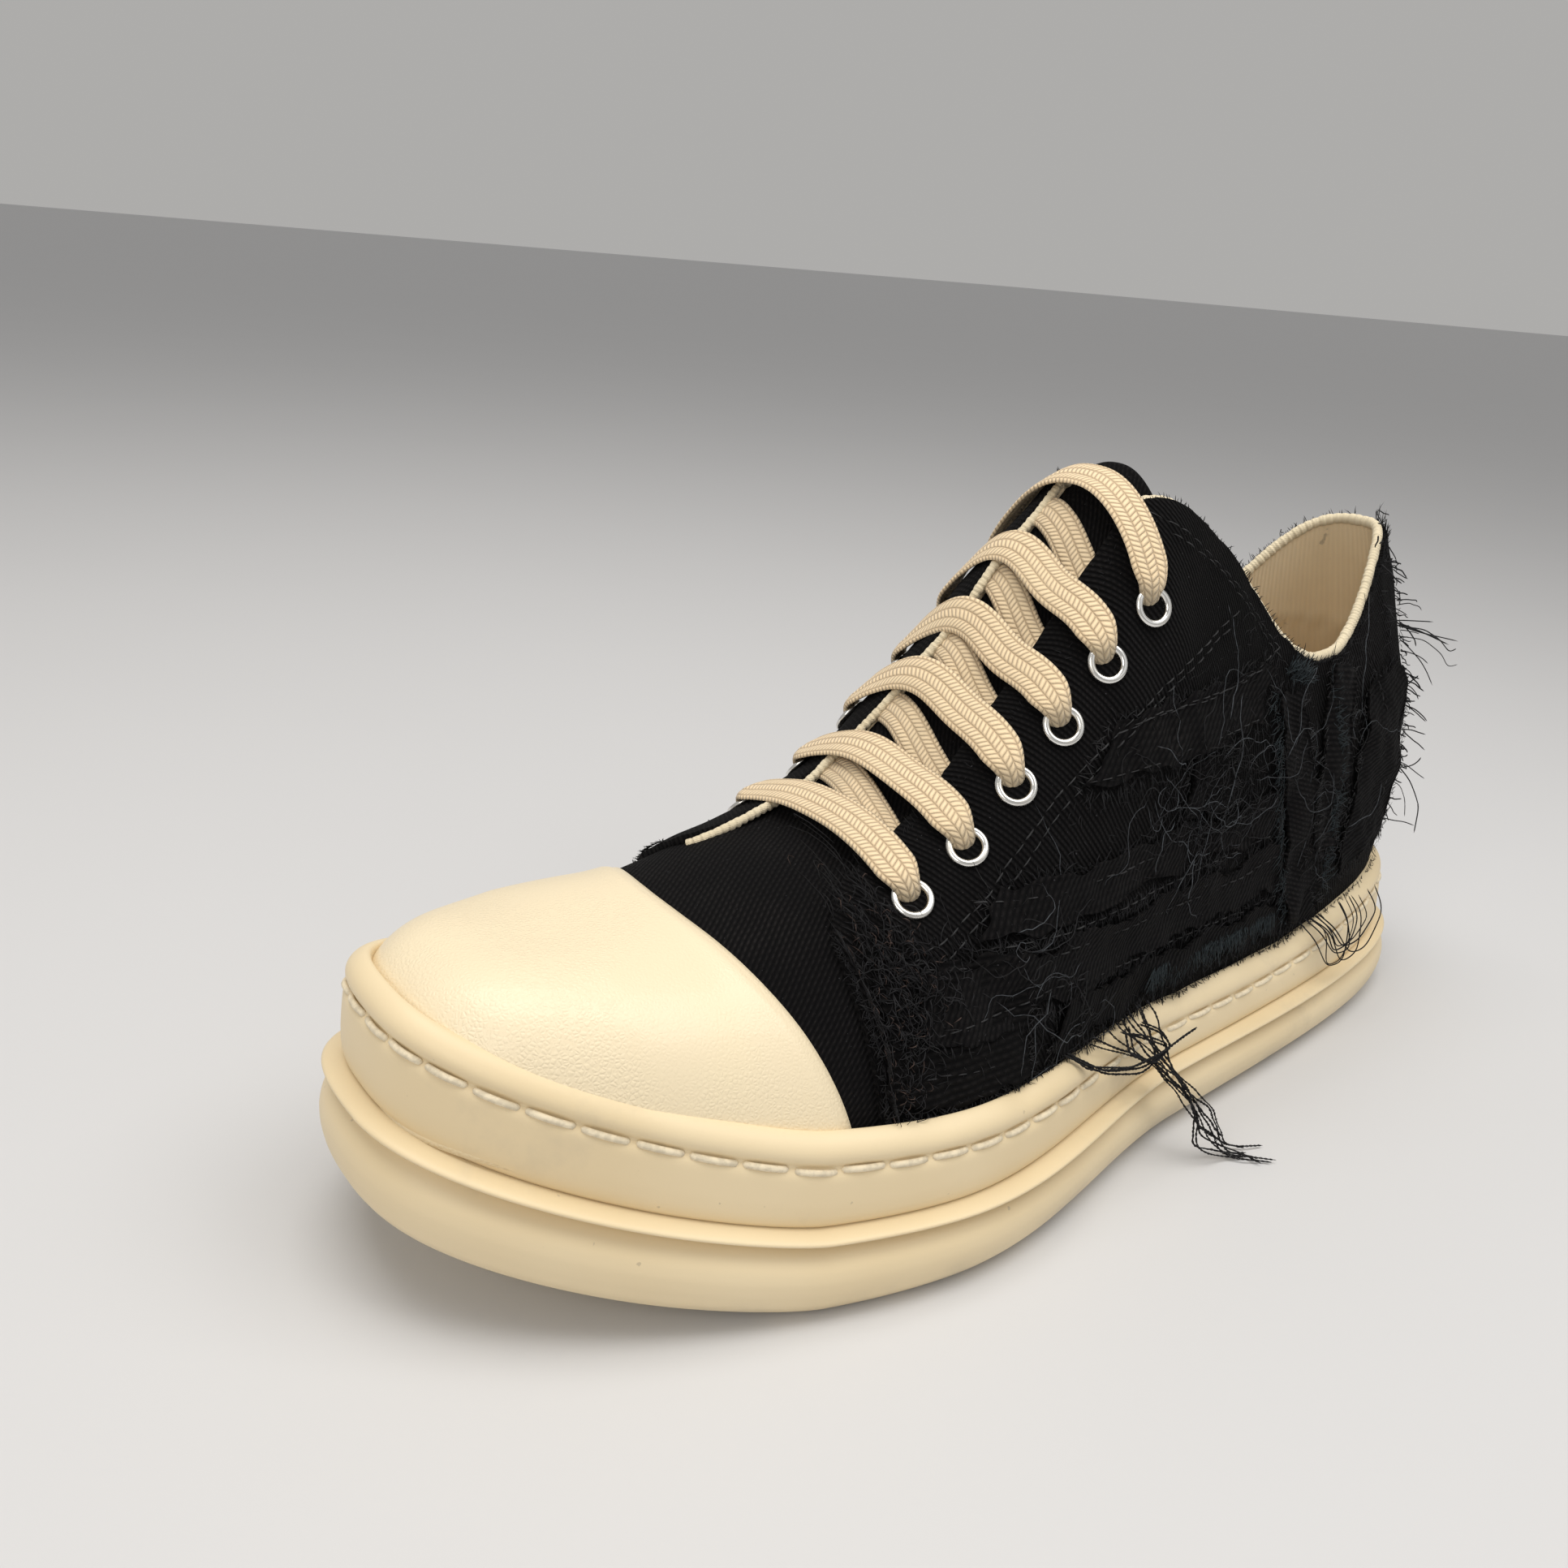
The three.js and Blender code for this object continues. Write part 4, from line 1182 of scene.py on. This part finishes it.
def collar_band():
    """Cream binding, folded over the collar's edge and whipped."""
    points, normals = collar_line(0.1, -1.45)
    points = smooth_points(points, 14)
    place_at = resample(np.concatenate([points, normals], 1), 900)
    rope("collar_band", place_at[:, :3], unit(place_at[:, 3:]), 1.45, 1.15, 1.9, 0.16, band_cloth, "lining")


def flap_piping():
    """Raw cream selvedge along the medial flap's edge, from the vamp up to the collar's corner."""
    x = np.linspace(73.2, -15, 220)
    phi = phi_at_y(x, -medial_flap(x) + 0.3)
    points, normals = skin(theta_of(x), phi, 0.1 + 0.3 * value_noise(x / 7, x / 5, 6))
    at = resample(np.concatenate([smooth_points(points, 6), normals], 1), 520)
    rope("medial_flap_selvedge", at[:, :3], unit(at[:, 3:]), 0.95, 0.95, 1.6, 0.3, band_cloth, "lining")


band_cloth = lining_cloth("edge_band", (0.84, 0.74, 0.54), 0.9)
collar_band()
flap_piping()


# ---------------------------------------------------------------- patches, stitches and frayed threads
PATCHES = {
    # front-low, rear-low, rear-high, front-high corners in (station, height), the twill's angle, height
    1: [("upper_strip", (11, 84), (-50, 90), (-54, 104), (1, 97), 0.30, 0.35),
        ("middle_strip", (41, 59), (-60, 63), (-63, 73), (34, 68), 0.20, 0.45),
        ("lower_strip", (58, 44), (-72, 47), (-66, 58), (57, 56), 0.25, 0.45),
        ("front_scrap", (66, 34), (33, 34), (33, 57), (66, 61), 1.15, 0.35),
        ("low_flounce", (26, 35), (-90, 33.5), (-84, 42), (22, 44), 0.1, 0.8),
        ("heel_strap_front", (-74, 36), (-92, 35), (-66, 96), (-55, 97), 1.5, 1.1),
        ("heel_strap_back", (-80, 50), (-92, 52), (-94, 98), (-82, 100), 1.3, 1.0),
        ("heel_scrap", (-100, 42), (-128, 48), (-126, 96), (-104, 92), 0.8, 0.9),
        ("side_scrap", (-22, 72), (-42, 74), (-40, 90), (-26, 88), 0.9, 0.3)],
    -1: [("upper_strip", (12, 80), (-54, 88), (-56, 100), (6, 92), 0.30, 0.4),
         ("middle_strip", (38, 56), (-64, 60), (-62, 74), (32, 66), 0.20, 0.5),
         ("lower_strip", (60, 42), (-76, 42), (-70, 54), (58, 52), 0.25, 0.5),
         ("front_scrap", (68, 38), (40, 37), (38, 58), (68, 58), 1.15, 0.35),
         ("heel_strap", (-78, 40), (-94, 38), (-84, 98), (-70, 98), 1.4, 0.7),
         ("heel_scrap", (-104, 44), (-128, 50), (-124, 94), (-104, 92), 0.8, 0.5)],
}


def bilinear(corners, a, b):
    """Stations and heights inside four corners, for shares a along and b up."""
    return ((1 - b) * ((1 - a) * low_front + a * low_rear) + b * ((1 - a) * high_front + a * high_rear)
            for low_front, low_rear, high_rear, high_front in zip(*corners))


def patch(word, name, side, corners, angle, height, seed):
    """Scrap of cloth laid on a quarter: four wandering edges, slightly curled, with its own twill angle."""
    a, b = np.meshgrid(np.linspace(0, 1, 80), np.linspace(0, 1, 28 if side > 0 else 18), indexing="ij")
    x, z = bilinear(corners, a, b)
    loose_a, loose_b = ((1 - 2 * share) * np.abs(1 - 2 * share) ** 3 for share in (a, b))
    ragged = value_noise(x / 1.1, z / 1.1, seed, 7) * 0.7 + value_noise(x / 4.5, z / 4.5, seed + 1) * 1.5
    x = x + loose_a * ragged
    z = z + loose_b * ragged
    edge = np.maximum(np.abs(1 - 2 * a) ** 22, np.abs(1 - 2 * b) ** 9)
    rumple = 0.55 * value_noise(x / 4, z / 4, seed + 2) + 0.22 * value_noise(x / 1.5, z / 1.5, seed + 3)
    lift = quarter_lift(x, z, side) + 0.5 + height + rumple * (0.5 + height) + 0.45 * edge
    outer = on_side(x, z, side, lift)
    inner = on_side(x, z, side, lift - 0.55 - 0.35 * (1 - edge))
    cloth = twill(f"scrap_twill_{word}_{name}", 1.15 + 0.25 * (seed % 3) / 2, angle + 0.4,
                  tint=0.8 + 0.12 * (seed % 4), strength=0.8)
    uv = both_faces(np.stack([x, z], -1))
    place(f"scrap_{word}_{name}", *shell(outer, inner), cloth, "upper_canvas", uv=uv)


def hairs(side, x, z, dx, dz, length, stand, droop=0.0, curl=0.35, base=0.35):
    """Short threads leaving a quarter at (x, z) towards (dx, dz), rising off the cloth as they go."""
    t = np.linspace(0, 1, 5)
    lift = quarter_lift(x, z, side)[:, None] + base + stand[:, None] * t ** 1.2
    x, z, dx, dz, reach = (value[:, None] for value in (x, z, dx, dz, length))
    turn = rng.normal(0, curl, (len(x), 1)) * t * t * reach
    px = x + dx * reach * t - dz * turn
    pz = z + dz * reach * t + dx * turn - droop * reach * t * t
    return on_side(np.clip(px, -143.2, 76), np.clip(pz, 24, 143), side, lift)


def edge_fringe(side, a, b, count, direction, long_mean, spread=0.45, stand=0.9, base=0.7, wander=0.9):
    """Fringe along the segment a-b of (station, height), combed to one direction with a spread."""
    t = rng.uniform(0, 1, count)
    x = a[0] + (b[0] - a[0]) * t + rng.normal(0, wander, count) * 0.5
    z = a[1] + (b[1] - a[1]) * t + rng.normal(0, wander, count) * 0.5
    angle = math.atan2(direction[1], direction[0]) + rng.normal(0, spread, count)
    length = np.abs(rng.normal(long_mean, long_mean * 0.4, count)) + 0.5
    return hairs(side, x, z, np.cos(angle), np.sin(angle), length, rng.uniform(0.0, stand, count), 0.1,
                 base=base)


def thread_mesh(name, groups, radius, material, taper=0.6):
    """One piece from several groups of strands; radius is spread a little from strand to strand."""
    verts, faces, start = [], [], 0
    for g in groups:
        v, f = tubes(g, radius * rng.uniform(0.75, 1.25, len(g)), 3, taper)
        verts.append(v)
        faces.append(f + start)
        start += len(v)
    place(name, np.concatenate(verts), np.concatenate(faces), material, "upper_canvas")


def scrap_fringes(side):
    """Fringes round every scrap: across its long edges and out of its ends."""
    groups = []
    for name, *corners, angle, height in PATCHES[side]:
        corners = np.array(corners, float)
        middle = np.mean(corners, axis=0)
        for a, b in zip(corners, np.roll(corners, -1, 0)):
            out = np.array([b[1] - a[1], a[0] - b[0]])
            out = out / np.linalg.norm(out)
            if np.dot((a + b) / 2 - middle, out) < 0:
                out = -out
            count = int(np.linalg.norm(b - a) * (1.35 if side > 0 else 0.8))
            groups.append(edge_fringe(side, a, b, count, out, 2.2, base=height + 0.35))
    return groups


def cloth_fuzz(side, count):
    """Short hairs standing all over the worn cloth, thicker at the front corner and near the foxing."""
    x = rng.uniform(-138, 68, count)
    z = rng.uniform(31, 118, count)
    keep = (z < facing_line(x) - 1) & (z < collar(x) - 4)
    x, z = x[keep], z[keep]
    angle = rng.uniform(0, 2 * np.pi, len(x))
    return [hairs(side, x, z, np.cos(angle), np.sin(angle), rng.uniform(0.8, 3.0, len(x)),
                  rng.uniform(0.1, 1.2, len(x)), base=0.5, curl=0.6)]


def rim_fuzz(side, count=460):
    """Frayed edges of a quarter: its front, the flap, the collar and the raw bottom beside the foxing."""
    groups = []
    back = side_path(66.0, -142.0, count)
    x = station_of(back)
    top = last_point(back, collar_top(back, side, 0.6))
    heelward = step(-50, -110, x)
    length = rng.uniform(0.5, 1.6, count) + heelward * rng.exponential(1.4, count)
    lean = rng.normal(0, 0.6, count)
    length = length * (1 if side > 0 else 0.45)
    groups.append(hairs(side, x, top[:, 2] - 0.6, np.sin(lean), np.cos(lean), length,
                        rng.uniform(0.2, 1.5, count), base=0.0, curl=0.3))
    low = band_top(x) + rng.uniform(-0.5, 1.2, count)
    lean = rng.normal(0, 0.9, count)
    groups.append(hairs(side, x, low, np.sin(lean), -0.35 - np.abs(np.cos(lean)) * 0.4,
                        rng.uniform(1.0, 3.2, count), rng.uniform(0.3, 1.6, count), base=0.7, curl=0.6))
    front = 68.3 if side > 0 else 73.8
    z = rng.uniform(34, 62, 200)
    lean = rng.normal(0, 0.6, 200)
    groups.append(hairs(side, np.full(200, front), z, np.cos(lean), np.sin(lean), rng.uniform(0.6, 2.2, 200),
                        rng.uniform(0.0, 0.8, 200), base=0.5, curl=0.6))
    return groups


DASH_PITCH = 3.7
# Stitch rows of each quarter as (station, height) points; the first ones border the eyelet facing.
ROWS = {
    1: [[(60, 54.5), (49, 57.5), (35, 65.5), (21, 77.5), (8, 87.5), (-11, 100.5), (-25, 107.5), (-40, 115)],
        [(61, 56.5), (49, 60), (36, 67.5), (22, 79.5), (9, 89.8), (-11, 102.6), (-25, 109.6), (-40, 117.2)],
        [(1.5, 94.9), (-11, 98.2), (-29, 99.2), (-51, 103.7)],
        [(-3, 96.7), (-22, 99.3), (-42, 101.2), (-57, 108)],
        [(39.7, 58.5), (18, 58.5), (-5, 59.7), (-31, 61), (-61, 62.2)],
        [(59.2, 56.4), (40.4, 55.8), (20, 54.7), (-15.5, 53.1), (-51.3, 53.5), (-75, 57.6)],
        [(57, 46), (25.8, 48.5), (-8, 44.9), (-31, 44.7), (-69.4, 44.5)],
        [(40, 66), (10, 66.5), (-20, 68), (-58, 70)], [(10, 86), (-20, 89), (-50, 92)],
        [(64, 40), (48, 38.5), (34, 38)], [(62, 60), (56, 50), (54, 40)],
        [(-84, 96), (-90, 76), (-86, 54)], [(-108, 96), (-118, 76), (-122, 52)],
        [(-16, 137), (-26, 132), (-38, 123), (-50, 112), (-60, 104)],
        [(-20, 133), (-30, 128), (-42, 118), (-54, 107), (-64, 99.5)]],
    -1: [[(62, 56), (48, 60), (35, 67), (20, 78), (8, 87), (-11, 99), (-25, 106), (-40, 113)],
         [(60, 53.5), (48, 57.5), (35, 64.5), (20, 75.5), (8, 84.5), (-11, 96.5), (-25, 103.5), (-40, 110.5)],
         [(30, 58), (-10, 60), (-60, 64)], [(50, 48), (0, 48), (-70, 48)], [(0, 88), (-52, 94)],
         [(-78, 94), (-86, 70), (-84, 46)], [(-112, 92), (-120, 70), (-122, 52)],
         [(-16, 136), (-26, 131), (-38, 122), (-50, 111), (-62, 102)]],
}


def stitch_rows(side):
    """Dashes along every row, each sunk at its two ends."""
    groups = []
    for row in ROWS[side]:
        path = smooth_path(row, 400, 1)
        s = lengths(path)
        count = max(int(s[-1] / DASH_PITCH), 2)
        t = np.linspace(0, 0.8, 6)
        at = (np.arange(count)[:, None] + t[None]) * DASH_PITCH
        at = np.clip(at + rng.normal(0, 0.12, (count, 1)), 0, s[-1])
        x, z = np.interp(at, s, path[:, 0]), np.interp(at, s, path[:, 1])
        x, z = x + rng.normal(0, 0.12, (count, 1)), z + rng.normal(0, 0.12, (count, 1))
        on_strip = 0.85 if row[0][1] < 100 and row[0][0] < 60 and row is not ROWS[side][0] else 0.4
        lift = quarter_lift(x, z, side) + on_strip + 0.42 * facing_rise(x, z, side)
        groups.append(on_side(x, z, side, lift + 0.35 * np.sin(np.pi * t / 0.8)[None] ** 0.7))
    return groups


def wild_threads(side, places, count, long_mean, steps=16):
    """Long loose threads wandering over the cloth round the given places, in loops and curls."""
    where = np.array(places)[rng.integers(0, len(places), count)]
    x = where[:, 0] + rng.normal(0, 3, count)
    z = where[:, 1] + rng.normal(0, 2.5, count)
    angle = rng.uniform(0, 2 * np.pi, (count, 1)) + np.cumsum(rng.normal(0, 0.33, (count, steps)), axis=1)
    angle = angle + rng.normal(0, 0.13, (count, 1)) * np.arange(steps)[None]
    pace = np.abs(rng.normal(long_mean, long_mean * 0.4, (count, 1))) / steps + 0.2
    px = x[:, None] + np.cumsum(np.cos(angle) * pace, axis=1)
    pz = z[:, None] + np.cumsum(np.sin(angle) * pace, axis=1)
    t = np.linspace(0, 1, steps)[None]
    stand = rng.uniform(0.3, 2.6, (count, 1)) * np.sin(np.pi * (0.1 + 0.8 * t)) + 0.9
    px, pz = np.clip(px, -141, 68), np.clip(pz, 33, 128)
    pz = np.minimum(pz, collar(px) - 2)
    return on_side(px, pz, side, quarter_lift(px, pz, side) + stand)


# Where loose threads cluster on each side, as (station, height).
LOOSE_PLACES = {1: [(-10, 78), (-25, 70), (-38, 72), (-43, 80), (-35, 88), (-22, 74), (-30, 66), (-18, 82),
                    (-33, 84), (-48, 76), (-40, 66), (28, 48), (36, 58), (14, 40), (-66, 80), (-78, 66),
                    (-90, 56), (-100, 80)],
                -1: [(-12, 74), (-30, 68), (-44, 78), (30, 46), (52, 50), (-70, 76), (-92, 60), (-104, 80)]}
CORNER = [(64, 62), (62, 56), (60, 64), (66, 52), (58, 58), (65, 45), (61, 48), (54, 54), (66, 38)]


def thread_bundle():
    """Black threads hanging out of the lateral side, over the sole's band and down to the floor."""
    strands = []
    heads = [(14, 42.5, 33.6), (4, 41, 32.4), (-4, 40.5, 31.8), (-9, 40.5, 31.6), (0, 41, 32),
             (-6, 40.5, 31.8), (10, 42, 33), (-14, 39.8, 31.2), (-2, 41, 32), (-10, 40.2, 31.5)]
    for k, head in enumerate(heads):
        j = rng.normal(0, 1, (8, 3))
        sway = rng.normal(0, 1.2)
        gather = np.array([-9.0, 46.4, 25.5]) + j[0] * [2.6, 0.3, 1.2]
        waist = np.array([-14.5, 50.6, 17.8]) + j[1] * [2.3, 0.5, 1.2]
        lip = np.array([-17.5, 53.6, 12.0]) + j[2] * [2.3, 0.9, 1.2]
        low = np.array([-22.0 + sway * 0.4, 55.2, 5.2]) + j[3] * [2.0, 1.2, 1.0]
        touch = np.array([-27.0 + sway, 56.5, 0.9]) + j[4] * [1.4, 1.2, 0.05]
        tip = np.array([-33.0 + sway * 2, 60.0, 0.7]) + j[5] * [3.5, 2.2, 0.05]
        up = np.array([head[0], head[1] - 3.5, head[2] + 2.5])
        points = [up, head, gather, waist, lip, low, touch, tip]
        if k >= 8:
            points = points[:6]
        swirl = 0.35 * np.sin(np.linspace(0, 1, 60) * 46 + k)[:, None] * np.array([1.0, 0.2, 0.4])
        path = smooth_path(points, 60, 2) + swirl
        path[:, 2] = np.maximum(path[:, 2], 0.55)
        strands.append(path)
    loops = [((20, 43, 34.5), (16, 47.6, 31), (4, 48.5, 27.5),
              (-8, 47.5, 27), (-16, 46.0, 28.5), (-22, 45.2, 28.0)),
             ((22, 43.5, 34.5), (12, 48, 28.5), (-2, 47.6, 25),
              (-12, 46.4, 27), (-4, 45.4, 31.5), (2, 42.6, 33)),
             ((-2, 41, 32), (2, 46.8, 29), (-4, 47.4, 25.5),
              (-12, 46.2, 26.5), (-10, 44.6, 31.5), (-7, 41, 32))]
    for k in range(2):
        for loop in loops:
            strands.append(smooth_path(np.array(loop) + rng.normal(0, 0.7, (6, 3)) * [1, 0.3, 0.6], 60, 2))
    return np.array(strands)


def heel_threads():
    """Threads and small loops curling off the back and the lateral rear of the heel."""
    strands = []
    roots = [(-132, 122, 1), (-134, 112, 1), (-136, 104, 1), (-139, 96, 1), (-140, 88, 1), (-141, 80, 1),
             (-141, 72, 1), (-141, 64, 1), (-141, 56, 1), (-139, 50, 1), (-128, 118, -1), (-136, 98, -1),
             (-140, 76, -1), (-141, 60, -1), (-124, 126, 1), (-122, 110, 1), (-130, 90, 1), (-134, 68, 1)]
    for k in range(150):
        x, z, side = roots[k % len(roots)]
        x, z = x + rng.normal(0, 2.0), z + rng.normal(0, 4)
        x = np.clip(x, -143, 0)
        p, normal = skin(theta_of(x), arch_angle(x, z, side), 0.8)
        out = unit(normal + rng.normal(0, 0.35, 3) + [0, 0, rng.uniform(-0.7, 0.25)])
        long = rng.choice([2.0, 3.5, 6.0, 9.5], p=[0.45, 0.33, 0.15, 0.07]) * rng.uniform(0.8, 1.2)
        bend = unit(rng.normal(0, 1, 3) + [0, 0, -0.9])
        t = np.linspace(0, 1, 6)[:, None]
        points = p + out * long * t + bend * long * 0.55 * t ** 2 + rng.normal(0, 0.25, (6, 3)) * t
        strands.append(smooth_path(points, 14, 1))
    return np.array(strands)


def heel_loops():
    """Two long curls off the back of the heel, and loops of thread lying over the sole's band beside it."""
    loops = [((-138, 6, 101), (-147, 9, 100), (-153, 11, 97), (-158, 12, 93), (-161, 12, 94)),
             ((-139, 5, 98), (-148, 9, 97), (-154, 12, 93), (-157, 13, 89), (-160, 14, 90)),
             ((-143, 4, 62), (-151, 8, 60), (-158, 10, 54), (-163, 12, 46), (-164, 12, 37)),
             ((-143, 3, 58), (-150, 6, 55), (-157, 8, 52), (-160, 9, 47), (-158, 11, 43))]
    for k in range(8):
        front = rng.uniform(-92, -82)
        rear = front - rng.uniform(13, 27)
        sag, low = rng.uniform(3, 9), (front + rear) / 2 + rng.normal(0, 3)
        x = np.array([front + 1, front - 1, low + 4, low - 4, rear + 1, rear - 1])
        y = lateral_half(x) + toe_shift(x) + [-9.0, -3.8, -2.4, -2.4, -3.8, -9.0]
        z = np.array([34, 31, 30 - sag, 30.5 - sag, 32, 35.5]) + rng.normal(0, 0.5, 6)
        loops.append(np.stack([x, y, z], -1))
    return np.array([smooth_path(p, 40, 3) for p in loops])


def twist_pairs(strands, radius, turns):
    """Two plies wound round each strand."""
    tangent = unit(np.gradient(strands, axis=1))
    a = unit(np.cross(tangent, [0.3, 0.2, 1.0]))
    b = np.cross(tangent, a)
    w = lengths(strands)[..., None] * turns
    off = (a * np.cos(w) + b * np.sin(w)) * radius
    return np.concatenate([strands + off, strands - off])


# Numbers of short hairs, grey loose threads and dark loose threads on each side.
THREADS = {1: (2000, 60, 170), -1: (600, 24, 80)}
for side, word in SIDES:
    for index, (name, *corners, angle, height) in enumerate(PATCHES[side]):
        patch(word, name, side, corners, angle, height, 40 + index * 5 + side)
    fringes = scrap_fringes(side)
    fuzz, grey, dark = THREADS[side]
    thread_mesh(f"scrap_fringe_{word}", fringes[::2], 0.13, black_thread)
    thread_mesh(f"pale_fringe_{word}", fringes[1::2], 0.11, row_thread)
    thread_mesh(f"cloth_fuzz_{word}", cloth_fuzz(side, fuzz), 0.085, black_thread)
    thread_mesh(f"rim_fuzz_{word}", rim_fuzz(side), 0.12, black_thread)
    thread_mesh(f"stitching_{word}", stitch_rows(side), 0.17, row_thread, taper=1.0)
    for kind, count, mean, thread in (("loose", grey, 20, grey_thread), ("dark", dark, 12, black_thread)):
        loose = wild_threads(side, LOOSE_PLACES[side], count, mean)
        thread_mesh(f"{kind}_threads_{word}", [loose], 0.13, thread)
thread_mesh("flounce_fringe", [edge_fringe(1, (-14, 40), (-68, 40), 330, (0.35, -1.0), 3.2, 0.35, 1.4, 1.4)],
            0.11, teal_thread)
thread_mesh("strap_fringe", [
    edge_fringe(1, (-74, 36), (-55, 97), 260, (1.0, 0.15), 3.4, 0.4, 1.8, 1.2),
    edge_fringe(1, (-92, 40), (-82, 98), 200, (-1.0, 0.1), 3.0, 0.5, 1.8, 1.2),
    edge_fringe(1, (-60, 101), (-70, 98), 110, (-0.2, 1.0), 3.2, 0.7, 2.2, 0.8, 1.8)], 0.13, teal_thread)
thread_mesh("hanging_bundle", [twist_pairs(thread_bundle(), 0.15, 2.6)], 0.17, black_thread, taper=1.0)
thread_mesh("heel_threads", [heel_threads()], 0.2, black_thread, taper=0.8)
thread_mesh("heel_loops", [heel_loops()], 0.2, black_thread, taper=0.8)
thread_mesh("lint", [wild_threads(1, CORNER, 110, 1.3, 5)], 0.11, lint_thread)
thread_mesh("corner_mat", [wild_threads(1, CORNER, 520, 3.0, 7)], 0.12, black_thread)
